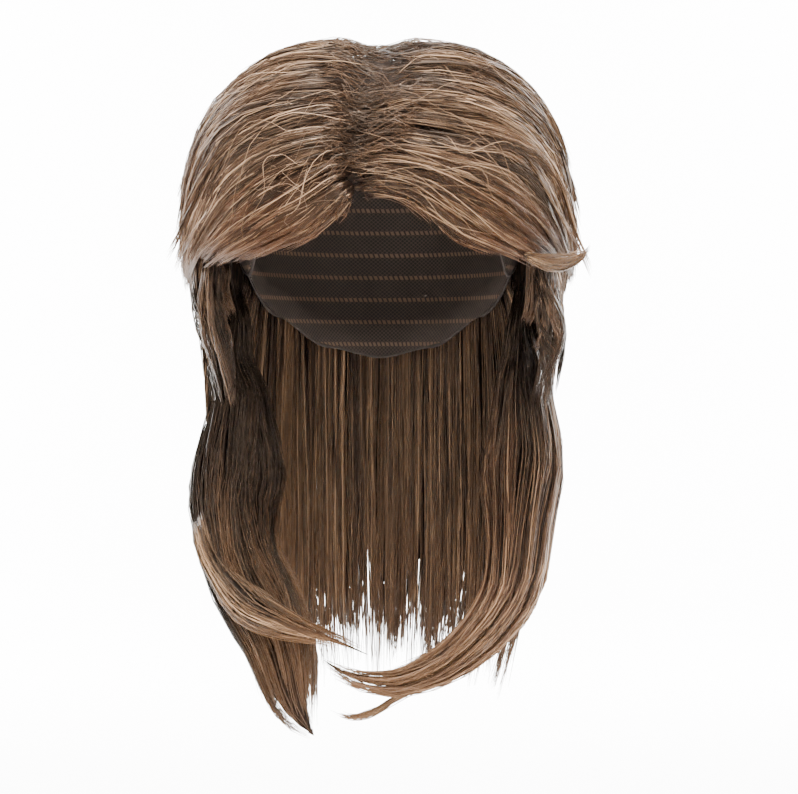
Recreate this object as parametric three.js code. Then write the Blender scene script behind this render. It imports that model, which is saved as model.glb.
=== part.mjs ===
import * as THREE from 'three';

// A mullet wig in millimetres: X across the head, Y from the face to the back, Z up.
// The origin is the inside top of the cap, where it sits on a head. Left and right are the wearer's.

// Head and cap
const HEAD_HALF_WIDTH = 76;
const HEAD_HALF_DEPTH = 97;
const HEAD_HEIGHT = 92;
const CAP_WALL = 1.5;
const CAP_FRONT_EDGE = 52;
const CAP_EAR_TAB = 108;
const CAP_OVER_EAR = 92;
const CAP_NAPE_EDGE = 150;

// How far the hair stands off the cap, and how far it goes on below the head's widest level
const HAIR_OVER_SIDE = 34;
const HAIR_OVER_FRONT = 20;
const HAIR_OVER_BACK = 27;
const HAIR_OVER_TOP = 25;
const HAIR_BELOW = 88;
const FORM_POWER = 2.5;

// Layers and locks
const CLEARANCE = 0.3;
const LAYER_AIR = 4.2;
const UNDER_LAYER_SHARE = 0.8;
const TAIL_ROOT_SHARE = 0.3;
const LOCK_RIDGE = 2.8;
const FEATHER_LIFT = 3.4;
const FEATHER_ROWS = 3;
const FRINGE_SETBACK = 1.5;
const PART_DIP = 9;
const TIP_THICKNESS = 2;
const CROWN_RAGGEDNESS = 0.07;
const SIDE_RAGGEDNESS = 0.12;
const NAPE_RAGGEDNESS = 0.12;
const SIDE_TIP_SHARE = 0.62;
const LOCK_GROOVE = 0.1;

// Lengths below the cap's top, and thicknesses, of the long hair
const NAPE_LENGTH = 318;
const NAPE_SLIT = 1.2;
const NAPE_SIDE_THINNING = 0.8;
const RIGHT_TAIL_LENGTH = 352;
const RIGHT_TAIL_HALF_WIDTH = 24.4;
const RIGHT_TAIL_HALF_DEPTH = 24;
const LEFT_TAIL_LENGTH = 321;
const LEFT_TAIL_HALF_WIDTH = 21.8;
const LEFT_TAIL_HALF_DEPTH = 24;
const CHEST_REACH = 84;
const CROSSING_LOCK_WIDTH = 17;
const CROSSING_LOCK_THICKNESS = 6;
const LOWER_LOCK_THICKNESS = 3.6;
const FLICK_REACH = 10;
const FLICK_THICKNESS = 5;

// Grid steps of the faceted solids
const CAP_COLUMNS = 32;
const CAP_ROWS = 9;
const FRONT_ROWS = 13;
const BACK_ROWS = 18;
const SIDE_STEPS = 11;
const SIDE_COLUMNS_PER_GUIDE = 4;
const NAPE_ROWS = 16;
const TAIL_SIDES = 16;
const TAIL_STEPS = 23;

const HAIR_HALF_WIDTH = HEAD_HALF_WIDTH + HAIR_OVER_SIDE;
const HAIR_FRONT = HEAD_HALF_DEPTH + HAIR_OVER_FRONT;
const HAIR_BACK = HEAD_HALF_DEPTH + HAIR_OVER_BACK;
const HAIR_ABOVE = HEAD_HEIGHT + HAIR_OVER_TOP;
const CENTRE = new THREE.Vector3(0, 0, -HEAD_HEIGHT);

const COLOUR = {
  cap: 0x3b2f27,
  crown: 0x80664e,
  fringe: 0x8a6f57,
  side: 0x735b47,
  nape: 0x5c4838,
  tail: 0x6a5442,
  lock: 0x7b624c,
};

function blend(a, b, t) {
  return a + (b - a) * t;
}

function ease(from, to, value) {
  const t = THREE.MathUtils.clamp((value - from) / (to - from), 0, 1);
  return t * t * (3 - 2 * t);
}

// A value of a table's column at a place along its rows, on a smooth curve through them
function along(rows, column, place) {
  const last = rows.length - 1;
  const i = Math.min(Math.floor(place), last - 1);
  const t = place - i;
  const b = rows[i][column];
  const c = rows[i + 1][column];
  const a = i > 0 ? rows[i - 1][column] : 2 * b - c;
  const d = i < last - 1 ? rows[i + 2][column] : 2 * c - b;
  const slopeIn = (c - a) / 2;
  const slopeOut = (d - b) / 2;
  const t2 = t * t;
  const t3 = t2 * t;
  return b * (2 * t3 - 3 * t2 + 1) + slopeIn * (t3 - 2 * t2 + t)
    + c * (3 * t2 - 2 * t3) + slopeOut * (t3 - t2);
}

// Closed bodies from grids of points

function solid(name, points, triangles, colour) {
  const geometry = new THREE.BufferGeometry();
  const positions = points.flatMap((p) => [p.x, p.y, p.z]);
  let volume = 0;
  for (const [a, b, c] of triangles) {
    volume += points[a].dot(new THREE.Vector3().crossVectors(points[b], points[c])) / 6;
  }
  const faces = volume > 0 ? triangles : triangles.map(([a, b, c]) => [a, c, b]);
  geometry.setAttribute('position', new THREE.Float32BufferAttribute(positions, 3));
  geometry.setIndex(faces.flat());
  const material = new THREE.MeshStandardMaterial({ color: colour, roughness: 0.5, metalness: 0 });
  const mesh = new THREE.Mesh(geometry, material);
  mesh.name = name;
  return mesh;
}

// A slab between an outer and an inner grid with the same rows and columns
function slab(name, outer, inner, colour) {
  const rows = outer.length;
  const columns = outer[0].length;
  const points = [...outer.flat(), ...inner.flat()];
  const out = (i, j) => i * columns + j;
  const under = (i, j) => rows * columns + i * columns + j;
  const triangles = [];
  const quad = (a, b, c, d) => triangles.push([a, b, c], [a, c, d]);
  for (let i = 0; i < rows - 1; i++) {
    for (let j = 0; j < columns - 1; j++) {
      quad(out(i, j), out(i, j + 1), out(i + 1, j + 1), out(i + 1, j));
      quad(under(i, j), under(i + 1, j), under(i + 1, j + 1), under(i, j + 1));
    }
    quad(out(i, 0), out(i + 1, 0), under(i + 1, 0), under(i, 0));
    quad(out(i + 1, columns - 1), out(i, columns - 1), under(i, columns - 1), under(i + 1, columns - 1));
  }
  for (let j = 0; j < columns - 1; j++) {
    quad(out(0, j + 1), out(0, j), under(0, j), under(0, j + 1));
    quad(out(rows - 1, j), out(rows - 1, j + 1), under(rows - 1, j + 1), under(rows - 1, j));
  }
  return solid(name, points, triangles, colour);
}

// A body through rings of points, closed by a middle point at each end
function loft(name, rings, colour) {
  const sides = rings[0].length;
  const points = rings.flat();
  const triangles = [];
  for (let i = 0; i < rings.length - 1; i++) {
    for (let j = 0; j < sides; j++) {
      const k = (j + 1) % sides;
      triangles.push([i * sides + j, i * sides + k, (i + 1) * sides + k]);
      triangles.push([i * sides + j, (i + 1) * sides + k, (i + 1) * sides + j]);
    }
  }
  for (const [ring, turned] of [[0, true], [rings.length - 1, false]]) {
    const middle = new THREE.Vector3();
    rings[ring].forEach((p) => middle.addScaledVector(p, 1 / sides));
    points.push(middle);
    for (let j = 0; j < sides; j++) {
      const a = ring * sides + j;
      const b = ring * sides + (j + 1) % sides;
      triangles.push(turned ? [points.length - 1, b, a] : [points.length - 1, a, b]);
    }
  }
  return solid(name, points, triangles, colour);
}

// The space between cap and outer form

// From the head's middle, the way through a place given in shares of the form's half sizes
function direction(x, y, z) {
  const depth = y < 0 ? HAIR_FRONT : HAIR_BACK;
  const height = z > 0 ? HAIR_ABOVE : HAIR_BELOW;
  return new THREE.Vector3(x * HAIR_HALF_WIDTH, y * depth, z * height).normalize();
}

function headRadius(way, wall) {
  const x = way.x / (HEAD_HALF_WIDTH + wall);
  const y = way.y / (HEAD_HALF_DEPTH + wall);
  const z = way.z / (HEAD_HEIGHT + wall);
  return 1 / Math.hypot(x, y, z);
}

function formRadius(way) {
  const x = Math.abs(way.x) / HAIR_HALF_WIDTH;
  const y = Math.abs(way.y) / (way.y < 0 ? HAIR_FRONT : HAIR_BACK);
  const z = Math.abs(way.z) / (way.z > 0 ? HAIR_ABOVE : HAIR_BELOW);
  return (x ** FORM_POWER + y ** FORM_POWER + z ** FORM_POWER) ** (-1 / FORM_POWER);
}

// The height of a place on the form, as a share of its half height there
function heightShare(way) {
  return way.z * formRadius(way) / (way.z > 0 ? HAIR_ABOVE : HAIR_BELOW);
}

// Share 0 of the hair's depth is clear of the cap, and share 1 is the outer form
function depthRadius(way, share) {
  return blend(headRadius(way, CAP_WALL) + CLEARANCE, formRadius(way), share);
}

function inHair(way, share, lift) {
  return way.clone().multiplyScalar(depthRadius(way, share) + lift).add(CENTRE);
}

// The share at which the under layers stop and the crown hair begins
function layerLine(way) {
  const frontFade = blend(0.45, 1, ease(-0.95, -0.6, way.y * formRadius(way) / HAIR_FRONT));
  return UNDER_LAYER_SHARE * ease(0.62, -0.1, heightShare(way)) * frontFade;
}

// The cap: a thin domed shell whose edge follows the hairline, the ears and the nape

const CAP_EDGE_ROWS = [
  { turn: 0, depth: CAP_FRONT_EDGE },
  { turn: 25, depth: blend(CAP_FRONT_EDGE, CAP_EAR_TAB, 0.1) },
  { turn: 48, depth: blend(CAP_FRONT_EDGE, CAP_EAR_TAB, 0.5) },
  { turn: 66, depth: CAP_EAR_TAB },
  { turn: 92, depth: CAP_OVER_EAR },
  { turn: 125, depth: blend(CAP_OVER_EAR, CAP_NAPE_EDGE, 0.6) },
  { turn: 152, depth: blend(CAP_OVER_EAR, CAP_NAPE_EDGE, 0.9) },
  { turn: 180, depth: CAP_NAPE_EDGE },
];

function capEdgeDepth(turn) {
  const bend = Math.abs(THREE.MathUtils.euclideanModulo(turn + 180, 360) - 180);
  let i = 0;
  while (i < CAP_EDGE_ROWS.length - 2 && bend > CAP_EDGE_ROWS[i + 1].turn) i++;
  const from = CAP_EDGE_ROWS[i];
  const to = CAP_EDGE_ROWS[i + 1];
  return blend(from.depth, to.depth, ease(from.turn, to.turn, bend));
}

function capPoint(turn, share, wall) {
  const height = HEAD_HEIGHT + wall;
  const deepest = Math.acos(THREE.MathUtils.clamp((HEAD_HEIGHT - capEdgeDepth(turn)) / height, -1, 1));
  const fall = deepest * share;
  const angle = THREE.MathUtils.degToRad(turn);
  return new THREE.Vector3(
    (HEAD_HALF_WIDTH + wall) * Math.sin(fall) * Math.sin(angle),
    -(HEAD_HALF_DEPTH + wall) * Math.sin(fall) * Math.cos(angle),
    height * Math.cos(fall),
  ).add(CENTRE);
}

function cap() {
  const points = [];
  const triangles = [];
  const skins = [CAP_WALL, 0].map((wall) => {
    const start = points.length;
    points.push(new THREE.Vector3(0, 0, wall));
    for (let i = 1; i <= CAP_ROWS; i++) {
      for (let j = 0; j < CAP_COLUMNS; j++) {
        points.push(capPoint(j * 360 / CAP_COLUMNS, i / CAP_ROWS, wall));
      }
    }
    return start;
  });
  const at = (skin, i, j) => skins[skin] + 1 + (i - 1) * CAP_COLUMNS + j % CAP_COLUMNS;
  const quad = (a, b, c, d) => triangles.push([a, b, c], [a, c, d]);
  for (let j = 0; j < CAP_COLUMNS; j++) {
    triangles.push([skins[0], at(0, 1, j), at(0, 1, j + 1)]);
    triangles.push([skins[1], at(1, 1, j + 1), at(1, 1, j)]);
    for (let i = 1; i < CAP_ROWS; i++) {
      quad(at(0, i, j), at(0, i + 1, j), at(0, i + 1, j + 1), at(0, i, j + 1));
      quad(at(1, i, j), at(1, i, j + 1), at(1, i + 1, j + 1), at(1, i + 1, j));
    }
    quad(at(0, CAP_ROWS, j), at(1, CAP_ROWS, j), at(1, CAP_ROWS, j + 1), at(0, CAP_ROWS, j + 1));
  }
  return solid('wig_cap', points, triangles, COLOUR.cap);
}

// Crown hair: it fans out from the part, front to back, each guide a line of hair from root to tip.
// Places are shares of the form's half sizes.

const PART_ROWS = [
  { x: -0.12, y: -0.99, z: 0.22 },
  { x: -0.13, y: -0.975, z: 0.32 },
  { x: -0.12, y: -0.95, z: 0.42 },
  { x: -0.09, y: -0.89, z: 0.56 },
  { x: -0.05, y: -0.79, z: 0.71 },
  { x: -0.02, y: -0.6, z: 0.87 },
  { x: -0.01, y: -0.36, z: 0.96 },
  { x: 0, y: -0.14, z: 0.99 },
  { x: 0, y: 0.02, z: 1 },
  { x: 0, y: 0.12, z: 0.99 },
  { x: 0, y: 0.2, z: 0.98 },
];

const RIGHT_FAN_ROWS = [
  { x1: -0.22, y1: -0.985, z1: 0.13, x2: -0.42, y2: -0.96, z2: -0.01, x3: -0.72, y3: -0.78, z3: -0.17 },
  { x1: -0.34, y1: -0.965, z1: 0.19, x2: -0.62, y2: -0.86, z2: 0.02, x3: -0.86, y3: -0.6, z3: -0.16 },
  { x1: -0.4, y1: -0.93, z1: 0.34, x2: -0.7, y2: -0.79, z2: 0.15, x3: -0.92, y3: -0.48, z3: -0.13 },
  { x1: -0.46, y1: -0.85, z1: 0.51, x2: -0.8, y2: -0.63, z2: 0.29, x3: -0.97, y3: -0.33, z3: -0.12 },
  { x1: -0.46, y1: -0.72, z1: 0.69, x2: -0.84, y2: -0.45, z2: 0.42, x3: -0.99, y3: -0.16, z3: -0.14 },
  { x1: -0.46, y1: -0.48, z1: 0.84, x2: -0.87, y2: -0.22, z2: 0.5, x3: -1, y3: 0.04, z3: -0.17 },
  { x1: -0.47, y1: -0.2, z1: 0.92, x2: -0.89, y2: 0.03, z2: 0.54, x3: -0.97, y3: 0.28, z3: -0.19 },
  { x1: -0.44, y1: 0.1, z1: 0.94, x2: -0.82, y2: 0.31, z2: 0.58, x3: -0.87, y3: 0.56, z3: -0.26 },
  { x1: -0.35, y1: 0.35, z1: 0.9, x2: -0.61, y2: 0.62, z2: 0.6, x3: -0.66, y3: 0.82, z3: -0.34 },
  { x1: -0.19, y1: 0.51, z1: 0.86, x2: -0.32, y2: 0.84, z2: 0.55, x3: -0.34, y3: 0.95, z3: -0.4 },
  { x1: 0, y1: 0.58, z1: 0.84, x2: 0, y2: 0.9, z2: 0.51, x3: 0, y3: 0.98, z3: -0.42 },
];

const LEFT_FAN_ROWS = [
  { x1: 0.16, y1: -0.985, z1: 0.19, x2: 0.46, y2: -0.955, z2: 0, x3: 0.8, y3: -0.7, z3: -0.18 },
  { x1: 0.2, y1: -0.975, z1: 0.28, x2: 0.57, y2: -0.9, z2: 0.11, x3: 0.88, y3: -0.57, z3: -0.14 },
  { x1: 0.3, y1: -0.95, z1: 0.35, x2: 0.68, y2: -0.82, z2: 0.2, x3: 0.93, y3: -0.46, z3: -0.1 },
  { x1: 0.38, y1: -0.88, z1: 0.5, x2: 0.78, y2: -0.65, z2: 0.33, x3: 0.97, y3: -0.33, z3: -0.09 },
  { x1: 0.42, y1: -0.74, z1: 0.69, x2: 0.82, y2: -0.48, z2: 0.44, x3: 0.99, y3: -0.16, z3: -0.12 },
  { x1: 0.45, y1: -0.48, z1: 0.84, x2: 0.86, y2: -0.22, z2: 0.5, x3: 1, y3: 0.04, z3: -0.16 },
  { x1: 0.47, y1: -0.2, z1: 0.92, x2: 0.89, y2: 0.03, z2: 0.54, x3: 0.97, y3: 0.28, z3: -0.19 },
  { x1: 0.44, y1: 0.1, z1: 0.94, x2: 0.82, y2: 0.31, z2: 0.58, x3: 0.87, y3: 0.56, z3: -0.26 },
  { x1: 0.35, y1: 0.35, z1: 0.9, x2: 0.61, y2: 0.62, z2: 0.6, x3: 0.66, y3: 0.82, z3: -0.34 },
  { x1: 0.19, y1: 0.51, z1: 0.86, x2: 0.32, y2: 0.84, z2: 0.55, x3: 0.34, y3: 0.95, z3: -0.4 },
  { x1: 0, y1: 0.58, z1: 0.84, x2: 0, y2: 0.9, z2: 0.51, x3: 0, y3: 0.98, z3: -0.42 },
];

// The way to a place on a fan: a guide number, whole or between two, and a share of the hair's length
function fanWay(fan, guide, share) {
  const stations = [
    { x: along(PART_ROWS, 'x', guide), y: along(PART_ROWS, 'y', guide), z: along(PART_ROWS, 'z', guide) },
    { x: along(fan, 'x1', guide), y: along(fan, 'y1', guide), z: along(fan, 'z1', guide) },
    { x: along(fan, 'x2', guide), y: along(fan, 'y2', guide), z: along(fan, 'z2', guide) },
    { x: along(fan, 'x3', guide), y: along(fan, 'y3', guide), z: along(fan, 'z3', guide) },
  ];
  const place = share * (stations.length - 1);
  return direction(along(stations, 'x', place), along(stations, 'y', place), along(stations, 'z', place));
}

// Every other column of a layer is the crest of a lock, longer than the valleys beside it
function lockCrest(column) {
  return column % 2 === 1 ? 0.7 + 0.3 * Math.sin(column * 2.4) : 0.15 + 0.15 * Math.sin(column * 1.1);
}

// Shingled lock ends: the hair lifts towards each end, then drops to the next lock below
function featherLift(share, column) {
  const place = share * FEATHER_ROWS + 0.35 * Math.sin(column * 1.9);
  const part = THREE.MathUtils.euclideanModulo(place, 1);
  return FEATHER_LIFT * (part < 0.8 ? part / 0.8 : (1 - part) / 0.2) * ease(0.12, 0.4, share);
}

// Moves the first and last columns inwards, so that neighbours keep their clearance
function trimSides(grid) {
  for (const row of grid) {
    const last = row.length - 1;
    const first = row[1].clone().sub(row[0]).normalize();
    const final = row[last - 1].clone().sub(row[last]).normalize();
    row[0].addScaledVector(first, CLEARANCE);
    row[last].addScaledVector(final, CLEARANCE);
  }
}

function fanLayer(name, fan, firstGuide, lastGuide, columnsPerGuide, rows, setback, colour) {
  const side = fan === RIGHT_FAN_ROWS ? -1 : 1;
  const columns = (lastGuide - firstGuide) * columnsPerGuide;
  const outer = [];
  const inner = [];
  for (let i = 0; i <= rows; i++) {
    outer.push([]);
    inner.push([]);
    for (let j = 0; j <= columns; j++) {
      const crest = lockCrest(j);
      const share = i / rows * (1 - CROWN_RAGGEDNESS * (1 - crest));
      const way = fanWay(fan, firstGuide + j / columnsPerGuide, share);
      const line = layerLine(way);
      const dip = PART_DIP * (1 - ease(0, 0.16, share));
      const relief = LOCK_RIDGE * (crest - 1) * ease(0.05, 0.3, share) + featherLift(share, j) - FEATHER_LIFT;
      const top = inHair(way, 1, relief - dip - setback);
      const bottom = inHair(way, line, CLEARANCE);
      const thickness = top.distanceTo(bottom);
      const thin = ease(0.8, 1, i / rows) * Math.max(0, thickness - TIP_THICKNESS);
      top.lerp(bottom, 0.4 * thin / thickness);
      bottom.lerp(top, 0.6 * thin / Math.max(thickness - 0.4 * thin, TIP_THICKNESS));
      const shift = side * CLEARANCE * (1 - ease(0, 0.2, share));
      top.x += shift;
      bottom.x += shift;
      outer[i].push(top);
      inner[i].push(bottom);
    }
  }
  trimSides(outer);
  trimSides(inner);
  return slab(name, outer, inner, colour);
}

// Side layers: short feathered hair from the temple over the ear, under the crown hair

const SIDE_ROWS = [
  {
    x0: 0.79, y0: -0.56, z0: 0.3, x1: 0.82, y1: -0.56, z1: 0,
    x2: 0.84, y2: -0.5, z2: -0.25, x3: 0.86, y3: -0.42, z3: -0.47,
  },
  {
    x0: 0.9, y0: -0.3, z0: 0.32, x1: 0.95, y1: -0.3, z1: 0,
    x2: 0.95, y2: -0.25, z2: -0.25, x3: 0.92, y3: -0.18, z3: -0.55,
  },
  {
    x0: 0.95, y0: 0, z0: 0.32, x1: 1, y1: 0, z1: 0,
    x2: 0.98, y2: 0.02, z2: -0.25, x3: 0.94, y3: 0.05, z3: -0.52,
  },
  {
    x0: 0.92, y0: 0.26, z0: 0.3, x1: 0.96, y1: 0.27, z1: 0,
    x2: 0.95, y2: 0.28, z2: -0.25, x3: 0.9, y3: 0.29, z3: -0.5,
  },
];

function sideWay(side, guide, share) {
  const stations = [0, 1, 2, 3].map((n) => ({
    x: side * along(SIDE_ROWS, `x${n}`, guide),
    y: along(SIDE_ROWS, `y${n}`, guide),
    z: along(SIDE_ROWS, `z${n}`, guide),
  }));
  const place = share * (stations.length - 1);
  return direction(along(stations, 'x', place), along(stations, 'y', place), along(stations, 'z', place));
}

function sideLayer(name, side) {
  const columns = (SIDE_ROWS.length - 1) * SIDE_COLUMNS_PER_GUIDE;
  const outer = [];
  const inner = [];
  for (let i = 0; i <= SIDE_STEPS; i++) {
    outer.push([]);
    inner.push([]);
    for (let j = 0; j <= columns; j++) {
      const crest = lockCrest(j);
      const share = i / SIDE_STEPS * (1 - SIDE_RAGGEDNESS * (1 - crest));
      const way = sideWay(side, j / SIDE_COLUMNS_PER_GUIDE, share);
      const level = heightShare(way);
      const flare = ease(-0.2, -0.3, level);
      const rootShare = TAIL_ROOT_SHARE * ease(0.3, 0.1, level);
      const inShare = blend(rootShare, SIDE_TIP_SHARE, ease(0.6, 0.95, share));
      const outShare = Math.max(blend(layerLine(way), 0.95, flare), inShare + 0.06);
      const relief = LOCK_RIDGE * (crest - 1) * flare - LAYER_AIR * (1 - flare);
      outer[i].push(inHair(way, outShare, relief));
      inner[i].push(inHair(way, inShare, CLEARANCE));
    }
  }
  return slab(name, outer, inner, COLOUR.side);
}

// Nape hair: the long back, hung from under the crown hair, in three hanks side by side.
// Below the cap its plan keeps the form's outline, drawn in by the rows' spread and depth.

const NAPE_DROP_ROWS = [
  { fall: 0.2, under: 1, out: 0, inn: 0, spread: 1, depth: 1 },
  { fall: 0.28, under: 1, out: 0, inn: 0, spread: 1, depth: 1 },
  { fall: 0.37, under: 1, out: 0, inn: 0, spread: 1, depth: 1 },
  { fall: 0.43, under: 0.6, out: 0.9, inn: 0, spread: 0.96, depth: 1 },
  { fall: 0.54, under: 0, out: 1, inn: 0.08, spread: 0.93, depth: 0.95 },
  { fall: 0.66, under: 0, out: 1, inn: 0.16, spread: 0.91, depth: 0.88 },
  { fall: 0.78, under: 0, out: 0.98, inn: 0.26, spread: 0.88, depth: 0.82 },
  { fall: 0.9, under: 0, out: 0.93, inn: 0.42, spread: 0.82, depth: 0.77 },
  { fall: 1, under: 0, out: 0.82, inn: 0.68, spread: 0.74, depth: 0.74 },
];

function napePoint(turn, place, column, outside) {
  const row = {};
  for (const key of Object.keys(NAPE_DROP_ROWS[0])) row[key] = along(NAPE_DROP_ROWS, key, place);
  const height = -row.fall * NAPE_LENGTH;
  const angle = THREE.MathUtils.degToRad(turn);
  const x = -Math.cos(angle) * HAIR_HALF_WIDTH;
  const y = Math.sin(angle) * HAIR_BACK;
  const level = Math.max(height + HEAD_HEIGHT, -0.32 * HAIR_BELOW);
  const way = new THREE.Vector3(x, y, level).normalize();
  const under = THREE.MathUtils.clamp(row.under, 0, 1);
  const outShare = blend(row.out, layerLine(way), ease(0, 1, under));
  const relief = LOCK_RIDGE * 1.4 * (lockCrest(column) - 1) * (1 - under);
  const sideThinning = NAPE_SIDE_THINNING * ease(0.6, 1, Math.abs(Math.cos(angle))) * (1 - under);
  const point = outside
    ? inHair(way, outShare, relief - LAYER_AIR * under)
    : inHair(way, blend(Math.max(row.inn, 0), 0.85, sideThinning), CLEARANCE);
  return new THREE.Vector3(point.x * row.spread, point.y * row.depth, blend(height, point.z, under));
}

function napeHank(name, fromTurn, toTurn, columns, firstColumn) {
  const outer = [];
  const inner = [];
  for (let i = 0; i <= NAPE_ROWS; i++) {
    outer.push([]);
    inner.push([]);
    for (let j = 0; j <= columns; j++) {
      const crest = lockCrest(j + firstColumn);
      const share = i / NAPE_ROWS * (1 - NAPE_RAGGEDNESS * (1 - crest));
      const place = share * (NAPE_DROP_ROWS.length - 1);
      const turn = blend(fromTurn, toTurn, j / columns);
      outer[i].push(napePoint(turn, place, j + firstColumn, true));
      inner[i].push(napePoint(turn, place, j + firstColumn, false));
    }
  }
  for (const grid of [outer, inner]) {
    for (const row of grid) {
      const last = row.length - 1;
      row[0].addScaledVector(row[1].clone().sub(row[0]).normalize(), NAPE_SLIT / 2);
      row[last].addScaledVector(row[last - 1].clone().sub(row[last]).normalize(), NAPE_SLIT / 2);
    }
  }
  return slab(name, outer, inner, COLOUR.nape);
}

// Long tails and loose locks: sections of an oval lock along a line of places

// Each row has a place in millimetres, half sizes across and through the lock, and the turn of its width
function lockBody(name, rows, sides, steps, colour) {
  const rings = [];
  const last = rows.length - 1;
  for (let i = 0; i <= steps; i++) {
    const place = i / steps * last;
    const value = (column) => along(rows, column, place);
    const middle = new THREE.Vector3(value('x'), value('y'), value('z'));
    const ahead = Math.min(place + 0.05, last);
    const behind = Math.max(place - 0.05, 0);
    const travel = new THREE.Vector3(
      along(rows, 'x', ahead) - along(rows, 'x', behind),
      along(rows, 'y', ahead) - along(rows, 'y', behind),
      along(rows, 'z', ahead) - along(rows, 'z', behind),
    ).normalize();
    const angle = THREE.MathUtils.degToRad(value('turn'));
    const facing = new THREE.Vector3(Math.sin(angle), -Math.cos(angle), 0);
    const across = new THREE.Vector3().crossVectors(travel, facing).normalize();
    const through = new THREE.Vector3().crossVectors(across, travel).normalize();
    const ring = [];
    for (let j = 0; j < sides; j++) {
      const a = j / sides * 2 * Math.PI;
      const groove = 1 - LOCK_GROOVE * (j % 2) * ease(0, 2, place);
      ring.push(middle.clone()
        .addScaledVector(across, value('half') * groove * Math.cos(a))
        .addScaledVector(through, value('thick') * groove * Math.sin(a)));
    }
    rings.push(ring);
  }
  return loft(name, rings, colour);
}

// A tail's root is a flat band between the head and the side layer: its middle and its half thickness
function rootBand(side, fall, forward, share) {
  const way = new THREE.Vector3(side * HEAD_HALF_WIDTH, forward, HEAD_HEIGHT - fall).normalize();
  const low = depthRadius(way, 0);
  const high = depthRadius(way, share);
  const middle = way.clone().multiplyScalar((low + high) / 2).add(CENTRE);
  return { x: middle.x, thick: Math.abs(way.x) * (high - low) / 2 - CLEARANCE };
}

// Rows give x as shares of the hair's half width, y as shares of the reach onto the chest,
// fall as a share of the tail's length, and half sizes as shares of the tail's.

const RIGHT_TAIL_ROWS = [
  { x: -0.752, y: 0, fall: 0.44, half: 0.51, thick: 0.86, turn: 8 },
  { x: -0.705, y: -0.02, fall: 0.489, half: 0.61, thick: 0.9, turn: 8 },
  { x: -0.7, y: -0.05, fall: 0.528, half: 0.73, thick: 0.94, turn: 5 },
  { x: -0.7, y: -0.1, fall: 0.6, half: 1, thick: 0.96, turn: 4 },
  { x: -0.724, y: -0.2, fall: 0.665, half: 0.98, thick: 0.85, turn: 8 },
  { x: -0.681, y: -0.42, fall: 0.737, half: 0.87, thick: 0.7, turn: 12 },
  { x: -0.574, y: -0.6, fall: 0.801, half: 0.9, thick: 0.52, turn: 10 },
  { x: -0.492, y: -0.74, fall: 0.847, half: 0.84, thick: 0.44, turn: 6 },
  { x: -0.449, y: -0.82, fall: 0.883, half: 0.76, thick: 0.38, turn: 4 },
  { x: -0.411, y: -0.88, fall: 0.933, half: 0.6, thick: 0.3, turn: 2 },
  { x: -0.366, y: -0.9, fall: 0.968, half: 0.4, thick: 0.2, turn: 0 },
  { x: -0.293, y: -0.91, fall: 1, half: 0.06, thick: 0.06, turn: 0 },
];

const LEFT_TAIL_ROWS = [
  { x: 0.727, y: 0, fall: 0.483, half: 0.57, thick: 0.86, turn: -8 },
  { x: 0.718, y: -0.02, fall: 0.536, half: 0.69, thick: 0.9, turn: -8 },
  { x: 0.718, y: -0.05, fall: 0.614, half: 0.92, thick: 0.92, turn: -6 },
  { x: 0.703, y: -0.12, fall: 0.682, half: 1, thick: 0.84, turn: -6 },
  { x: 0.69, y: -0.3, fall: 0.769, half: 0.76, thick: 0.75, turn: -10 },
  { x: 0.659, y: -0.52, fall: 0.84, half: 0.72, thick: 0.52, turn: -14 },
  { x: 0.6, y: -0.68, fall: 0.885, half: 0.64, thick: 0.42, turn: -14 },
  { x: 0.49, y: -0.83, fall: 0.928, half: 0.54, thick: 0.34, turn: -12 },
  { x: 0.362, y: -0.92, fall: 0.964, half: 0.45, thick: 0.26, turn: -8 },
  { x: 0.245, y: -0.96, fall: 0.985, half: 0.39, thick: 0.22, turn: -4 },
  { x: 0.107, y: -1, fall: 1, half: 0.33, thick: 0.19, turn: 0 },
  { x: -0.019, y: -1.01, fall: 1, half: 0.26, thick: 0.15, turn: 0 },
  { x: -0.151, y: -1.01, fall: 0.989, half: 0.18, thick: 0.11, turn: 0 },
  { x: -0.264, y: -1.01, fall: 0.964, half: 0.06, thick: 0.05, turn: 0 },
];

const TAIL_ROOT_ROWS = [
  { fall: CAP_OVER_EAR - 10, forward: -3, share: 0.6 * TAIL_ROOT_SHARE },
  { fall: CAP_OVER_EAR + 10, forward: -2, share: TAIL_ROOT_SHARE },
  { fall: CAP_OVER_EAR + 28, forward: -2, share: 1.1 * TAIL_ROOT_SHARE },
  { fall: CAP_OVER_EAR + 43, forward: -1, share: 1.8 * TAIL_ROOT_SHARE },
];

function tail(name, side, rows, length, halfWidth, halfDepth) {
  const body = TAIL_ROOT_ROWS.map(({ fall, forward, share }) => {
    const band = rootBand(side, fall, forward, share);
    return { x: band.x, y: forward, z: -fall, half: band.thick, thick: 0.8 * halfDepth, turn: 0 };
  });
  for (const row of rows) {
    body.push({
      x: row.x * HAIR_HALF_WIDTH,
      y: row.y * CHEST_REACH,
      z: -row.fall * length,
      half: row.half * halfWidth,
      thick: row.thick * halfDepth,
      turn: row.turn,
    });
  }
  return lockBody(name, body, TAIL_SIDES, TAIL_STEPS, COLOUR.tail);
}

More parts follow.
